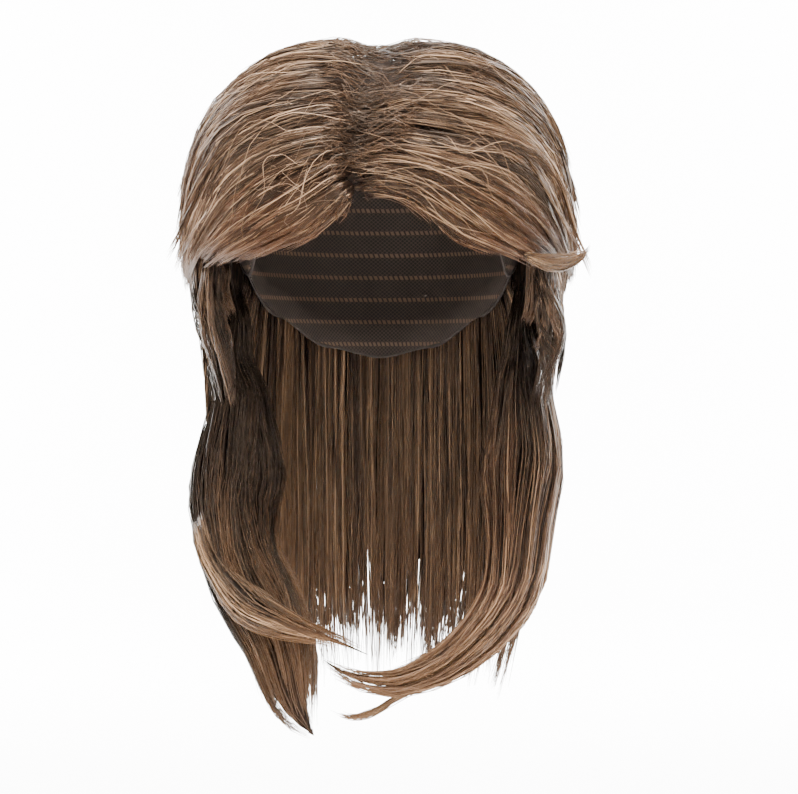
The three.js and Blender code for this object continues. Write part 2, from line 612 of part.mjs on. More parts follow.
// The lock that crosses the right tail, lying on its front, with its end free over the chest.
// Ahead is how far its middle stands off the tail's front, as a share of the reach onto the chest.
const CROSSING_ROWS = [
  { x: -0.765, fall: 0.76, half: 0.55, thick: 0.5, ahead: -0.03 },
  { x: -0.635, fall: 0.803, half: 1, thick: 1, ahead: 0.02 },
  { x: -0.487, fall: 0.826, half: 0.86, thick: 0.9, ahead: 0.035 },
  { x: -0.364, fall: 0.84, half: 0.5, thick: 0.6, ahead: 0.05 },
  { x: -0.218, fall: 0.851, half: 0.25, thick: 0.35, ahead: 0.1 },
  { x: -0.045, fall: 0.872, half: 0.09, thick: 0.18, ahead: 0.14 },
];

// The front of the right tail at a fall, from its rows
function rightTailFront(fall) {
  let i = 0;
  while (RIGHT_TAIL_ROWS[i + 1].fall < fall) i++;
  const from = RIGHT_TAIL_ROWS[i];
  const to = RIGHT_TAIL_ROWS[i + 1];
  const t = (fall - from.fall) / (to.fall - from.fall);
  return blend(from.y, to.y, t) * CHEST_REACH - blend(from.thick, to.thick, t) * RIGHT_TAIL_HALF_DEPTH;
}

function crossingLock() {
  const rows = CROSSING_ROWS.map((row) => {
    const thick = row.thick * CROSSING_LOCK_THICKNESS / 2;
    return {
      x: row.x * HAIR_HALF_WIDTH,
      y: rightTailFront(row.fall) - row.ahead * CHEST_REACH - thick - 2 * CLEARANCE,
      z: -row.fall * RIGHT_TAIL_LENGTH,
      half: row.half * CROSSING_LOCK_WIDTH / 2,
      thick,
      turn: 8,
    };
  });
  return lockBody('crossing_lock', rows, 10, 12, COLOUR.lock);
}

// A thin lock that leaves the left tail's sweep from behind and hangs below it
const LOWER_ROWS = [
  { x: 0.3, y: -0.862, fall: 0.985, half: 0.8 },
  { x: 0.171, y: -0.915, fall: 1.018, half: 1 },
  { x: 0.064, y: -0.95, fall: 1.037, half: 1 },
  { x: -0.019, y: -0.98, fall: 1.052, half: 0.95 },
  { x: -0.127, y: -0.99, fall: 1.06, half: 0.7 },
  { x: -0.229, y: -0.99, fall: 1.047, half: 0.3 },
];

function lowerLock() {
  const rows = LOWER_ROWS.map((row) => ({
    x: row.x * HAIR_HALF_WIDTH,
    y: row.y * CHEST_REACH,
    z: -row.fall * LEFT_TAIL_LENGTH,
    half: row.half * LOWER_LOCK_THICKNESS / 2,
    thick: row.half * LOWER_LOCK_THICKNESS / 2,
    turn: 0,
  }));
  return lockBody('lower_lock', rows, 8, 10, COLOUR.lock);
}

// The flick: a lock that lies on the left fringe's end at the temple and turns up and out at its tip.
// Out is how far it stands off the hair's outer form, as a share of its reach.
const FLICK_ROWS = [
  { x: 0.705, y: -0.8, z: -0.1, out: -0.43, half: 0.6, thick: 0.6 },
  { x: 0.79, y: -0.72, z: -0.135, out: -0.35, half: 1.3, thick: 1 },
  { x: 0.865, y: -0.62, z: -0.125, out: 0, half: 1.2, thick: 0.9 },
  { x: 0.93, y: -0.54, z: -0.08, out: 0.5, half: 0.7, thick: 0.6 },
  { x: 0.99, y: -0.48, z: 0, out: 1, half: 0.15, thick: 0.15 },
];

function flickLock() {
  const rows = FLICK_ROWS.map((row) => {
    const thick = row.thick * FLICK_THICKNESS / 2;
    const point = inHair(direction(row.x, row.y, row.z), 1, thick + row.out * FLICK_REACH);
    return { x: point.x, y: point.y, z: point.z, half: row.half * FLICK_THICKNESS / 2, thick, turn: 40 };
  });
  return lockBody('flick_lock', rows, 8, 9, COLOUR.lock);
}

const group = new THREE.Group();
group.add(
  cap(),
  fanLayer('fringe_right', RIGHT_FAN_ROWS, 0, 2, 4, FRONT_ROWS, FRINGE_SETBACK, COLOUR.fringe),
  fanLayer('crown_right', RIGHT_FAN_ROWS, 2, 5, 4, FRONT_ROWS, 0, COLOUR.crown),
  fanLayer('crown_back_right', RIGHT_FAN_ROWS, 5, 10, 3, BACK_ROWS, 0, COLOUR.crown),
  fanLayer('crown_back_left', LEFT_FAN_ROWS, 5, 10, 3, BACK_ROWS, 0, COLOUR.crown),
  fanLayer('crown_left', LEFT_FAN_ROWS, 2, 5, 4, FRONT_ROWS, 0, COLOUR.crown),
  fanLayer('fringe_left', LEFT_FAN_ROWS, 0, 2, 4, FRONT_ROWS, FRINGE_SETBACK, COLOUR.fringe),
  sideLayer('side_right', -1),
  sideLayer('side_left', 1),
  napeHank('nape_right', 20, 66, 9, 0),
  napeHank('nape_middle', 66, 114, 10, 3),
  napeHank('nape_left', 114, 160, 9, 1),
  tail('tail_right', -1, RIGHT_TAIL_ROWS, RIGHT_TAIL_LENGTH, RIGHT_TAIL_HALF_WIDTH, RIGHT_TAIL_HALF_DEPTH),
  tail('tail_left', 1, LEFT_TAIL_ROWS, LEFT_TAIL_LENGTH, LEFT_TAIL_HALF_WIDTH, LEFT_TAIL_HALF_DEPTH),
  crossingLock(),
  lowerLock(),
  flickLock(),
);

export default group;
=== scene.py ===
import math

import bmesh
import bpy
import numpy as np
from mathutils.bvhtree import BVHTree
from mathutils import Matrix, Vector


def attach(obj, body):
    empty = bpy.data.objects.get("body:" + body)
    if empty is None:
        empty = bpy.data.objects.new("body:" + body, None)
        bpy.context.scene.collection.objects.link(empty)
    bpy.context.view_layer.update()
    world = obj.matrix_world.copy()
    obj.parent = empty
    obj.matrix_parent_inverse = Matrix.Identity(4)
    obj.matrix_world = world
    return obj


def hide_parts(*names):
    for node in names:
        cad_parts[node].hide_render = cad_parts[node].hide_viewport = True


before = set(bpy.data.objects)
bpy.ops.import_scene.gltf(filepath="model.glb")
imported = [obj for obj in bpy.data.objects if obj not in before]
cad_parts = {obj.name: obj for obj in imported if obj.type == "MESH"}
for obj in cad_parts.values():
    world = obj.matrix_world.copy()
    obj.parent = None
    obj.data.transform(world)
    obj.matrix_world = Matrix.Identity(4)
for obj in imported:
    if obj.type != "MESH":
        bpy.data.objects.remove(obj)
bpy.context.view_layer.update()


# The cap is a dome of dark knitted net with an elastic hem, worn tight on the head. The hair is sewn
# to it in level rows of weft, which show from inside as paler lines. Everything else hangs from it.

NET_DARK = (0.007, 0.005, 0.004, 1)
NET_THREAD = (0.022, 0.015, 0.011, 1)
WEFT_LINE = (0.042, 0.026, 0.017, 1)
HEM_COLOUR = (0.014, 0.010, 0.008, 1)
MESH_PITCH = 0.0022
WEFT_PITCH = 0.013
WEFT_SHARE = 0.2
STITCHES_ROUND = 200
HEM_RADIUS = 0.0012
HEM_SIDES = 8
HEM_STEPS = 120
HEAD_HALF = (0.076, 0.097, 0.092)
CAP_WALL = 0.0015
NET_SLANT = 0.08
STITCH_LEAN = 900
BACKING_THICKNESS_SHARE = 0.45

# The cap's edge: the turn from the front in degrees, and the depth below the top of the head
CAP_EDGE = [(0, 0.052), (25, 0.0576), (48, 0.080), (66, 0.108), (92, 0.092), (125, 0.1268),
            (152, 0.1442), (180, 0.150)]


class Wire:
    """One output socket of a node tree. Arithmetic on it adds Math nodes."""

    def __init__(self, tree, socket=None):
        self.tree = tree
        self.socket = socket

    def add(self, kind, settings, inputs, output=0):
        node = self.tree.nodes.new(kind)
        for key, value in settings.items():
            setattr(node, key, value)
        for key, value in inputs.items():
            if isinstance(value, Wire):
                self.tree.links.new(value.socket, node.inputs[key])
            else:
                node.inputs[key].default_value = value
        return Wire(self.tree, node.outputs[output])

    def math(self, operation, *values):
        return self.add("ShaderNodeMath", {"operation": operation}, dict(enumerate(values)))

    def __add__(self, other):
        return self.math("ADD", self, other)

    def __radd__(self, other):
        return self.math("ADD", other, self)

    def __sub__(self, other):
        return self.math("SUBTRACT", self, other)

    def __rsub__(self, other):
        return self.math("SUBTRACT", other, self)

    def __mul__(self, other):
        return self.math("MULTIPLY", self, other)

    def __rmul__(self, other):
        return self.math("MULTIPLY", other, self)

    def __truediv__(self, other):
        return self.math("DIVIDE", self, other)

    def step(self, low, high):
        """0 below low, 1 above high and a smooth rise between."""
        settings = {"interpolation_type": "SMOOTHSTEP"}
        return self.add("ShaderNodeMapRange", settings, {0: self, 1: low, 2: high, 3: 0.0, 4: 1.0})

    def mix(self, low, high):
        """A colour between low and high, with this socket as the factor."""
        return self.add("ShaderNodeMix", {"data_type": "RGBA"}, {0: self, 6: low, 7: high}, 2)


def new_material(name, roughness):
    made = bpy.data.materials.new(name)
    made.use_nodes = True
    shader = made.node_tree.nodes["Principled BSDF"]
    shader.inputs["Roughness"].default_value = roughness
    return made, Wire(made.node_tree), shader


def smooth_copy(node, name, sink):
    """A smooth copy of a CAD node, moved inwards by sink, or by less where it is thin."""
    skin = bmesh.new()
    skin.from_mesh(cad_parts[node].data)
    bmesh.ops.remove_doubles(skin, verts=skin.verts, dist=1e-6)
    skin.normal_update()
    tree = BVHTree.FromBMesh(skin)
    moves = []
    for vert in skin.verts:
        depth = tree.ray_cast(vert.co - vert.normal * 1e-5, -vert.normal)[3]
        moves.append(min(sink, (depth or sink) * BACKING_THICKNESS_SHARE))
    for vert, move in zip(skin.verts, moves):
        vert.co -= vert.normal * move
    for face in skin.faces:
        face.smooth = True
    mesh = bpy.data.meshes.new(name)
    skin.to_mesh(mesh)
    skin.free()
    made = bpy.data.objects.new(name, mesh)
    bpy.context.scene.collection.objects.link(made)
    return made


net, wire, shader = new_material("cap_net", 0.85)
shader.inputs["Specular IOR Level"].default_value = 0.12
place = wire.add("ShaderNodeTexCoord", {}, {}, "Object")
level = wire.add("ShaderNodeSeparateXYZ", {}, {0: place}, "Z")
width = wire.add("ShaderNodeSeparateXYZ", {}, {0: place}, "X")
depth = wire.add("ShaderNodeSeparateXYZ", {}, {0: place}, "Y")
turn = wire.math("ARCTAN2", width, depth)
slant = NET_SLANT / MESH_PITCH * math.pi
rising = wire.math("SINE", level * (math.pi / MESH_PITCH) + turn * slant)
falling = wire.math("SINE", level * (math.pi / MESH_PITCH) - turn * slant)
threads = wire.math("ABSOLUTE", rising * falling).step(0.15, 0.5)
wefts = wire.math("PINGPONG", level, WEFT_PITCH / 2) / (WEFT_PITCH / 2)
knit = threads.mix(NET_THREAD, NET_DARK)
stitches = wire.math("SINE", turn * STITCHES_ROUND + level * STITCH_LEAN).step(-0.9, -0.2)
sewn = stitches.mix(NET_DARK, WEFT_LINE)
coloured = wefts.step(WEFT_SHARE * 0.7, WEFT_SHARE).mix(sewn, knit)
net.node_tree.links.new(coloured.socket, shader.inputs["Base Color"])

cap = smooth_copy("wig_cap", "cap_shell", 0)
cap.data.materials.clear()
cap.data.materials.append(net)
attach(cap, "root")
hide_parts("wig_cap")

rim = []
for step in range(HEM_STEPS):
    turn = 360 * step / HEM_STEPS
    bend = min(turn, 360 - turn)
    before = max(row for row in CAP_EDGE if row[0] <= bend)
    after = min((row for row in CAP_EDGE if row[0] > bend), default=before)
    share = (bend - before[0]) / max(1, after[0] - before[0])
    fallen = before[1] + (after[1] - before[1]) * share * share * (3 - 2 * share)
    height = HEAD_HALF[2] + CAP_WALL / 2
    down = math.acos(max(-1, (HEAD_HALF[2] - fallen) / height))
    angle = math.radians(turn)
    rim.append(((HEAD_HALF[0] + CAP_WALL / 2) * math.sin(down) * math.sin(angle),
                -(HEAD_HALF[1] + CAP_WALL / 2) * math.sin(down) * math.cos(angle),
                height * math.cos(down) - HEAD_HALF[2]))
rim = np.array(rim)
onward = np.roll(rim, -1, axis=0) - np.roll(rim, 1, axis=0)
onward /= np.linalg.norm(onward, axis=1, keepdims=True)
outward = np.cross(onward, (0, 0, 1))
outward /= np.linalg.norm(outward, axis=1, keepdims=True)
upward = np.cross(outward, onward)
angles = np.arange(HEM_SIDES) * 2 * math.pi / HEM_SIDES
ring = np.cos(angles)[:, None] * outward[:, None] * 0.6 + np.sin(angles)[:, None] * upward[:, None]
points = (rim[:, None] + ring * HEM_RADIUS).reshape(-1, 3)
grid = np.arange(HEM_STEPS * HEM_SIDES).reshape(HEM_STEPS, HEM_SIDES)
beyond = np.roll(grid, -1, axis=0)
faces = np.stack([grid, beyond, np.roll(beyond, -1, axis=1), np.roll(grid, -1, axis=1)], -1)
mesh = bpy.data.meshes.new("cap_hem")
mesh.from_pydata(points.tolist(), [], faces.reshape(-1, 4).tolist())
mesh.shade_smooth()
band, _, shader = new_material("hem_band", 0.8)
shader.inputs["Base Color"].default_value = HEM_COLOUR
shader.inputs["Specular IOR Level"].default_value = 0.15
mesh.materials.append(band)
hem = bpy.data.objects.new("cap_hem", mesh)
bpy.context.scene.collection.objects.link(hem)
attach(hem, "root")


# The fringe is combed forwards from the part and swept to both temples over the forehead, with wisps
# at its edge. It is synthetic hair, sewn to the cap's front in wefts: strands over a backing painted dark as
# shade.

FRINGE_DARK = (0.010, 0.005, 0.003, 1)
FRINGE_MID = (0.030, 0.014, 0.007, 1)
FRINGE_PALE = (0.285, 0.172, 0.098, 1)
FRINGE_TIP = (0.070, 0.027, 0.011, 1)
# The backing's two browns are painted shade: the hair deep under the strands, darker than any strand.
BACKING_SHADE_DARK = (0.006, 0.0035, 0.002, 1)
BACKING_SHADE_PALE = (0.022, 0.012, 0.007, 1)
HAIR_ROUGHNESS = 0.4
GLOSS_TINT = (1, 0.8, 0.6, 1)
BACKING_SINK = 0.0055
BACKING_TRIM = 0.6
BACKING_PULL = 0.045
PULL_RATE = 2.25
FRINGE_SETBACK = 0.0015
FRINGE_STRAND = 0.00032

CAP_HALF = np.array([0.0775, 0.0985, 0.0935])
FORM_SIDE = 0.110
FORM_FRONT = 0.117
FORM_BACK = 0.124
FORM_ABOVE = 0.117
FORM_BELOW = 0.088
FORM_POWER = 2.5
MIDDLE = np.array([0, 0, -0.092])
CAP_CLEARANCE = 0.0003
PART_DIP = 0.009
LOCK_RELIEF = 0.0028
FEATHER_LIFT = 0.0024
TEMPLE_DROP = 0.0014

# Each guide is a line of hair from the part to its end: four places, in shares of the form's half sizes
PART = [
    (-0.12, -0.99, 0.22), (-0.13, -0.975, 0.32), (-0.12, -0.95, 0.42), (-0.09, -0.89, 0.56),
    (-0.05, -0.79, 0.71), (-0.02, -0.6, 0.87), (-0.01, -0.36, 0.96), (0, -0.14, 0.99),
    (0, 0.02, 1), (0, 0.12, 0.99), (0, 0.2, 0.98),
]
RIGHT_GUIDES = [
    (-0.22, -0.985, 0.13, -0.42, -0.96, -0.01, -0.72, -0.78, -0.17),
    (-0.34, -0.965, 0.19, -0.62, -0.86, 0.02, -0.86, -0.6, -0.16),
    (-0.4, -0.93, 0.34, -0.7, -0.79, 0.15, -0.92, -0.48, -0.13),
    (-0.46, -0.85, 0.51, -0.8, -0.63, 0.29, -0.97, -0.33, -0.12),
    (-0.46, -0.72, 0.69, -0.84, -0.45, 0.42, -0.99, -0.16, -0.14),
    (-0.46, -0.48, 0.84, -0.87, -0.22, 0.5, -1, 0.04, -0.17),
    (-0.47, -0.2, 0.92, -0.89, 0.03, 0.54, -0.97, 0.28, -0.19),
    (-0.44, 0.1, 0.94, -0.82, 0.31, 0.58, -0.87, 0.56, -0.26),
    (-0.35, 0.35, 0.9, -0.61, 0.62, 0.6, -0.66, 0.82, -0.34),
    (-0.19, 0.51, 0.86, -0.32, 0.84, 0.55, -0.34, 0.95, -0.4),
    (0, 0.58, 0.84, 0, 0.9, 0.51, 0, 0.98, -0.42),
]
LEFT_GUIDES = [
    (0.16, -0.985, 0.19, 0.46, -0.955, 0, 0.8, -0.7, -0.18),
    (0.2, -0.975, 0.28, 0.57, -0.9, 0.11, 0.88, -0.57, -0.14),
    (0.3, -0.95, 0.35, 0.68, -0.82, 0.2, 0.93, -0.46, -0.1),
    (0.38, -0.88, 0.5, 0.78, -0.65, 0.33, 0.97, -0.33, -0.09),
    (0.42, -0.74, 0.69, 0.82, -0.48, 0.44, 0.99, -0.16, -0.12),
    (0.45, -0.48, 0.84, 0.86, -0.22, 0.5, 1, 0.04, -0.16),
    (0.47, -0.2, 0.92, 0.89, 0.03, 0.54, 0.97, 0.28, -0.19),
    (0.44, 0.1, 0.94, 0.82, 0.31, 0.58, 0.87, 0.56, -0.26),
    (0.35, 0.35, 0.9, 0.61, 0.62, 0.6, 0.66, 0.82, -0.34),
    (0.19, 0.51, 0.86, 0.32, 0.84, 0.55, 0.34, 0.95, -0.4),
    (0, 0.58, 0.84, 0, 0.9, 0.51, 0, 0.98, -0.42),
]
RIGHT_FAN = np.hstack([PART, RIGHT_GUIDES])
LEFT_FAN = np.hstack([PART, LEFT_GUIDES])


def unit(vectors):
    return vectors / np.maximum(np.linalg.norm(vectors, axis=-1, keepdims=True), 1e-12)


def rise(low, high, value):
    """0 before low, 1 after high and a smooth rise between. High may be the lower one."""
    share = np.clip((value - low) / (high - low), 0, 1)
    return share * share * (3 - 2 * share)


def spline(a, b, c, d, share):
    """A smooth curve from b to c, with a before them and d after them."""
    square = share * share
    cube = square * share
    first = b * (2 * cube - 3 * square + 1) + (c - a) / 2 * (cube - 2 * square + share)
    return first + c * (3 * square - 2 * cube) + (d - b) / 2 * (cube - square)


def along(rows, place):
    """Rows of numbers read at places counted in rows, on a smooth curve."""
    rows = np.asarray(rows, float)
    padded = np.concatenate([2 * rows[:1] - rows[1:2], rows, 2 * rows[-1:] - rows[-2:-1]])
    first = np.clip(np.floor(place).astype(int), 0, len(rows) - 2)
    share = (place - first)[..., None]
    return spline(padded[first], padded[first + 1], padded[first + 2], padded[first + 3], share)


def form_half(signs):
    """The form's half sizes on the side that each vector points to."""
    side = np.full(signs.shape[:-1], FORM_SIDE)
    front_back = np.where(signs[..., 1] < 0, FORM_FRONT, FORM_BACK)
    up_down = np.where(signs[..., 2] > 0, FORM_ABOVE, FORM_BELOW)
    return np.stack([side, front_back, up_down], -1)


def form_radius(way):
    return (np.abs(way / form_half(way)) ** FORM_POWER).sum(-1) ** (-1 / FORM_POWER)


def in_hair(way, share, lift):
    """The place on a way from the head's middle: share 0 is the cap, 1 the outer form."""
    low = 1 / np.linalg.norm(way / CAP_HALF, axis=-1) + CAP_CLEARANCE
    radius = low + (form_radius(way) - low) * share + lift
    return way * radius[..., None] + MIDDLE


def guide_way(guides, guide, share):
    """The way to a place on a fan of guides: a guide's number and a share of its length."""
    stations = along(guides, guide).reshape(guide.shape + (4, 3))
    before = 2 * stations[..., :1, :] - stations[..., 1:2, :]
    after = 2 * stations[..., -1:, :] - stations[..., -2:-1, :]
    padded = np.concatenate([before, stations, after], -2)
    place = share * 3
    first = np.clip(np.floor(place).astype(int), 0, 2)
    near = [np.take_along_axis(padded, (first + n)[..., None, None], -2)[..., 0, :] for n in range(4)]
    shares = spline(*near, (place - first)[..., None])
    return unit(shares * form_half(shares))


def fan_place(fan, setback):
    """Places hair of a fan: guide, share of the length and lift off the outer form."""
    side = -1 if fan is RIGHT_FAN else 1

    def placed(guide, share, lift):
        way = guide_way(fan, guide, share)
        dip = PART_DIP * (1 - rise(0, 0.16, share))
        relief = LOCK_RELIEF * rise(0.02, 0.2, share)
        feather = (FEATHER_LIFT + TEMPLE_DROP) * rise(6, 7.5, guide) - TEMPLE_DROP * rise(3, 4, guide)
        feather *= rise(0.5, 0.95, share)
        points = in_hair(way, np.ones(share.shape), lift + feather - dip - relief - setback)
        points[..., 0] += side * CAP_CLEARANCE * (1 - rise(0, 0.2, share))
        return points

    return placed


def comb(rng, placed, locks, per_lock, steps, clump=0.7):
    """Strands of hair in locks. Each row of locks is a lock's middle at its root and at its end, its
    lifts there, and its width and thickness; the strands of a lock draw together towards its end."""
    picked = np.repeat(np.arange(len(locks["root"])), per_lock)
    count = len(picked)
    lock = {key: values[picked][:, None] for key, values in locks.items()}
    share = np.linspace(0, 1, steps)[None, :]
    across = np.clip(rng.normal(0, 0.5, (count, 1)), -1.3, 1.3)
    through = rng.uniform(-1, 1, (count, 1))
    late = rng.uniform(0, 0.12, (count, 1))
    early = np.abs(rng.normal(0, 0.09, (count, 1)))
    full = lock["end"] - lock["start"]
    length = lock["start"] + full * (late + (1 - late - early) * share)
    narrow = 1 - clump * rise(0.25, 1, share)
    wander = np.zeros((count, steps))
    for waves, size in [(1, 0.2), (2.3, 0.12), (4.1, 0.05)]:
        phase = rng.uniform(0, 2 * math.pi, (count, 1))
        wander += size * rng.normal(0, 0.6, (count, 1)) * np.sin(waves * math.pi * share + phase)
    bend = lock["sway"] * np.sin(lock["waves"] * math.pi * share + lock["phase"])
    guide = lock["root"] + (lock["tip"] - lock["root"]) * rise(0, 1, share)
    guide = guide + lock["width"] * (across * narrow + wander) + bend
    lift = lock["low"] + (lock["high"] - lock["low"]) * rise(0, 0.4, share)
    lift = lift + lock["curl"] * share ** 3 + lock["thick"] * through * (0.4 + 0.6 * narrow)
    paths = placed(guide, length, lift)
    for waves, size in [(2.2, 0.0005), (5.3, 0.0002)]:
        phase = rng.uniform(0, 2 * math.pi, (count, 1, 1))
        push = rng.normal(0, size, (count, 1, 3))
        paths = paths + push * np.sin(waves * math.pi * share[..., None] + phase) * np.sqrt(share)[..., None]
    tones = np.stack([rng.uniform(0, 1, count), locks["tone"][picked]], -1)
    return paths, tones


def lock_rows(rng, count, root, start, end, low, high, width, thick, drift=0.3, curl=0.0, sway=0.03,
              tone=(0, 1)):
    """Locks with values picked between the lowest and highest given of each."""
    def between(pair):
        return rng.uniform(pair[0], pair[1], count)

    roots = between(root)
    return {
        "root": roots,
        "tip": roots + rng.normal(0, drift, count),
        "start": between(start),
        "end": between(end),
        "low": between(low),
        "high": between(high),
        "width": between(width),
        "thick": np.full(count, thick),
        "curl": rng.normal(curl, abs(curl) * 0.6 + 0.0004, count),
        "sway": rng.normal(0, sway, count),
        "waves": rng.uniform(1.2, 2.6, count),
        "phase": rng.uniform(0, 2 * math.pi, count),
        "tone": between(tone),
    }


def strand_object(name, groups, radius, material, rng):
    """One mesh of closed three-sided strands. Its attribute strand holds each strand's tone, the share
    of its length and its lock's tone, and its map gives each strand a strip of its own."""
    paths = np.concatenate([paths for paths, _ in groups])
    tones = np.concatenate([tones for _, tones in groups])
    count, steps = paths.shape[:2]
    share = np.linspace(0, 1, steps)
    travel = unit(np.gradient(paths, axis=1))
    side = np.zeros_like(paths)
    least = np.argmin(np.abs(travel[:, 0]), axis=-1)
    side[:, 0] = unit(np.cross(travel[:, 0], np.eye(3)[least]))
    for step in range(1, steps):
        last = side[:, step - 1]
        turned = last - (last * travel[:, step]).sum(-1, keepdims=True) * travel[:, step]
        side[:, step] = unit(turned)
    other = np.cross(travel, side)
    angle = np.arange(3) * 2 * math.pi / 3
    ring = np.cos(angle)[:, None] * side[:, :, None] + np.sin(angle)[:, None] * other[:, :, None]
    taper = np.interp(share, [0, 0.06, 0.8, 1], [0.5, 1, 0.9, 0.15])
    sizes = radius * rng.uniform(0.65, 1.25, (count, 1)) * taper
    points = paths[:, :, None] + ring * sizes[:, :, None, None]

    at = np.arange(count * steps * 3).reshape(count, steps, 3)
    following = np.roll(at, -1, axis=2)
    walls = np.stack([at[:, :-1], following[:, :-1], following[:, 1:], at[:, 1:]], -1).reshape(-1, 4)
    starts = at[:, 0, ::-1]
    ends = at[:, -1]
    mesh = bpy.data.meshes.new(name)
    mesh.vertices.add(points.size // 3)
    mesh.vertices.foreach_set("co", points.ravel().astype(np.float32))
    corners = np.concatenate([walls.ravel(), starts.ravel(), ends.ravel()])
    totals = np.concatenate([np.full(len(walls), 4), np.full(2 * count, 3)])
    mesh.loops.add(len(corners))
    mesh.loops.foreach_set("vertex_index", corners.astype(np.int32))
    mesh.polygons.add(len(totals))
    mesh.polygons.foreach_set("loop_start", (np.cumsum(totals) - totals).astype(np.int32))
    mesh.polygons.foreach_set("use_smooth", np.ones(len(totals), bool))

    columns = max(1, round(math.sqrt(count * 9)))
    rows = math.ceil(count / columns)
    cell = np.stack([np.arange(count) % columns, np.arange(count) // columns], -1)
    side_marks = 0.15 + 0.7 * np.arange(4) / 3
    length_marks = 0.04 + 0.92 * share
    strip = np.zeros((count, steps - 1, 3, 4, 2))
    strip[..., 0, 0] = strip[..., 3, 0] = side_marks[None, None, :3]
    strip[..., 1, 0] = strip[..., 2, 0] = side_marks[None, None, 1:]
    strip[..., 0, 1] = strip[..., 1, 1] = length_marks[None, :-1, None]
    strip[..., 2, 1] = strip[..., 3, 1] = length_marks[None, 1:, None]
    strip = (strip + cell[:, None, None, None]) / (columns, rows)
    corner = np.array([(0.2, 0), (0.8, 0), (0.5, 1)])
    start_cap = (corner * (1, 0.02) + (0, 0.01) + cell[:, None]) / (columns, rows)
    end_cap = (corner * (1, 0.02) + (0, 0.97) + cell[:, None]) / (columns, rows)
    baked = mesh.uv_layers.new(name="OFBake")
    spread = np.concatenate([strip.ravel(), start_cap.ravel(), end_cap.ravel()])
    baked.data.foreach_set("uv", spread.astype(np.float32))

    values = np.ones((count, steps, 3, 4), np.float32)
    values[..., 0] = tones[:, 0, None, None]
    values[..., 1] = share[None, :, None]
    values[..., 2] = tones[:, 1, None, None]
    mesh.attributes.new("strand", "FLOAT_COLOR", "POINT").data.foreach_set("color", values.ravel())
    mesh.update(calc_edges=True)
    mesh.materials.append(material)
    made = bpy.data.objects.new(name, mesh)
    bpy.context.scene.collection.objects.link(made)
    return made


def hair_material(name, dark, mid, pale, tip, root_reach=0.28):
    """Combed synthetic hair: each strand has a tone of its own, and roots are darker than ends."""
    made, wire, shader = new_material(name, HAIR_ROUGHNESS)
    shader.inputs["Specular IOR Level"].default_value = 0.16
    shader.inputs["Specular Tint"].default_value = GLOSS_TINT
    strand = wire.add("ShaderNodeAttribute", {"attribute_name": "strand"}, {}, "Color")
    tone = wire.add("ShaderNodeSeparateColor", {}, {0: strand}, 0)
    length = wire.add("ShaderNodeSeparateColor", {}, {0: strand}, 1)
    lock = wire.add("ShaderNodeSeparateColor", {}, {0: strand}, 2)
    body = (tone * 0.4 + lock * 0.6).step(0.1, 0.8).mix(dark, mid)
    streaked = ((tone * 0.8 + lock * 0.2).step(0.66, 0.95) * 0.9).mix(body, pale)
    ended = (length.step(0.5, 1.0) * 0.5).mix(streaked, tip)
    rooted = length.step(0.0, root_reach).mix(dark, ended)
    made.node_tree.links.new(rooted.socket, shader.inputs["Base Color"])
    return made


def backing_material(name, dark, pale):
    """The hair under the surface, painted dark as shade: fine dark streaks."""
    made, wire, shader = new_material(name, 0.8)
    shader.inputs["Specular IOR Level"].default_value = 0.1
    place = wire.add("ShaderNodeTexCoord", {}, {}, "Object")
    squeezed = wire.add("ShaderNodeMapping", {}, {0: place, 3: (1, 1, 0.12)})
    streaks = wire.add("ShaderNodeTexNoise", {}, {0: squeezed, "Scale": 900.0, "Detail": 2.0})
    coloured = streaks.step(0.35, 0.7).mix(dark, pale)
    made.node_tree.links.new(coloured.socket, shader.inputs["Base Color"])
    return made


def add_backing(node, material, trimmed_below=None, pull=PULL_RATE):
    """The solid of a group, drawn in under its strands, and up where only strands reach the ends."""
    core = smooth_copy(node, node + "_backing", BACKING_SINK)
    if trimmed_below is not None:
        for vert in core.data.vertices:
            below = max(0, trimmed_below - vert.co.z)
            closer = 1 - min(pull * below, BACKING_PULL)
            vert.co = (vert.co.x * closer, vert.co.y * closer, vert.co.z + BACKING_TRIM * below)
    core.data.materials.clear()
    core.data.materials.append(material)
    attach(core, "root")
    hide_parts(node)


def add_strands(name, groups, radius, material, rng):
    made = strand_object(name, groups, radius, material, rng)
    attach(made, "root")


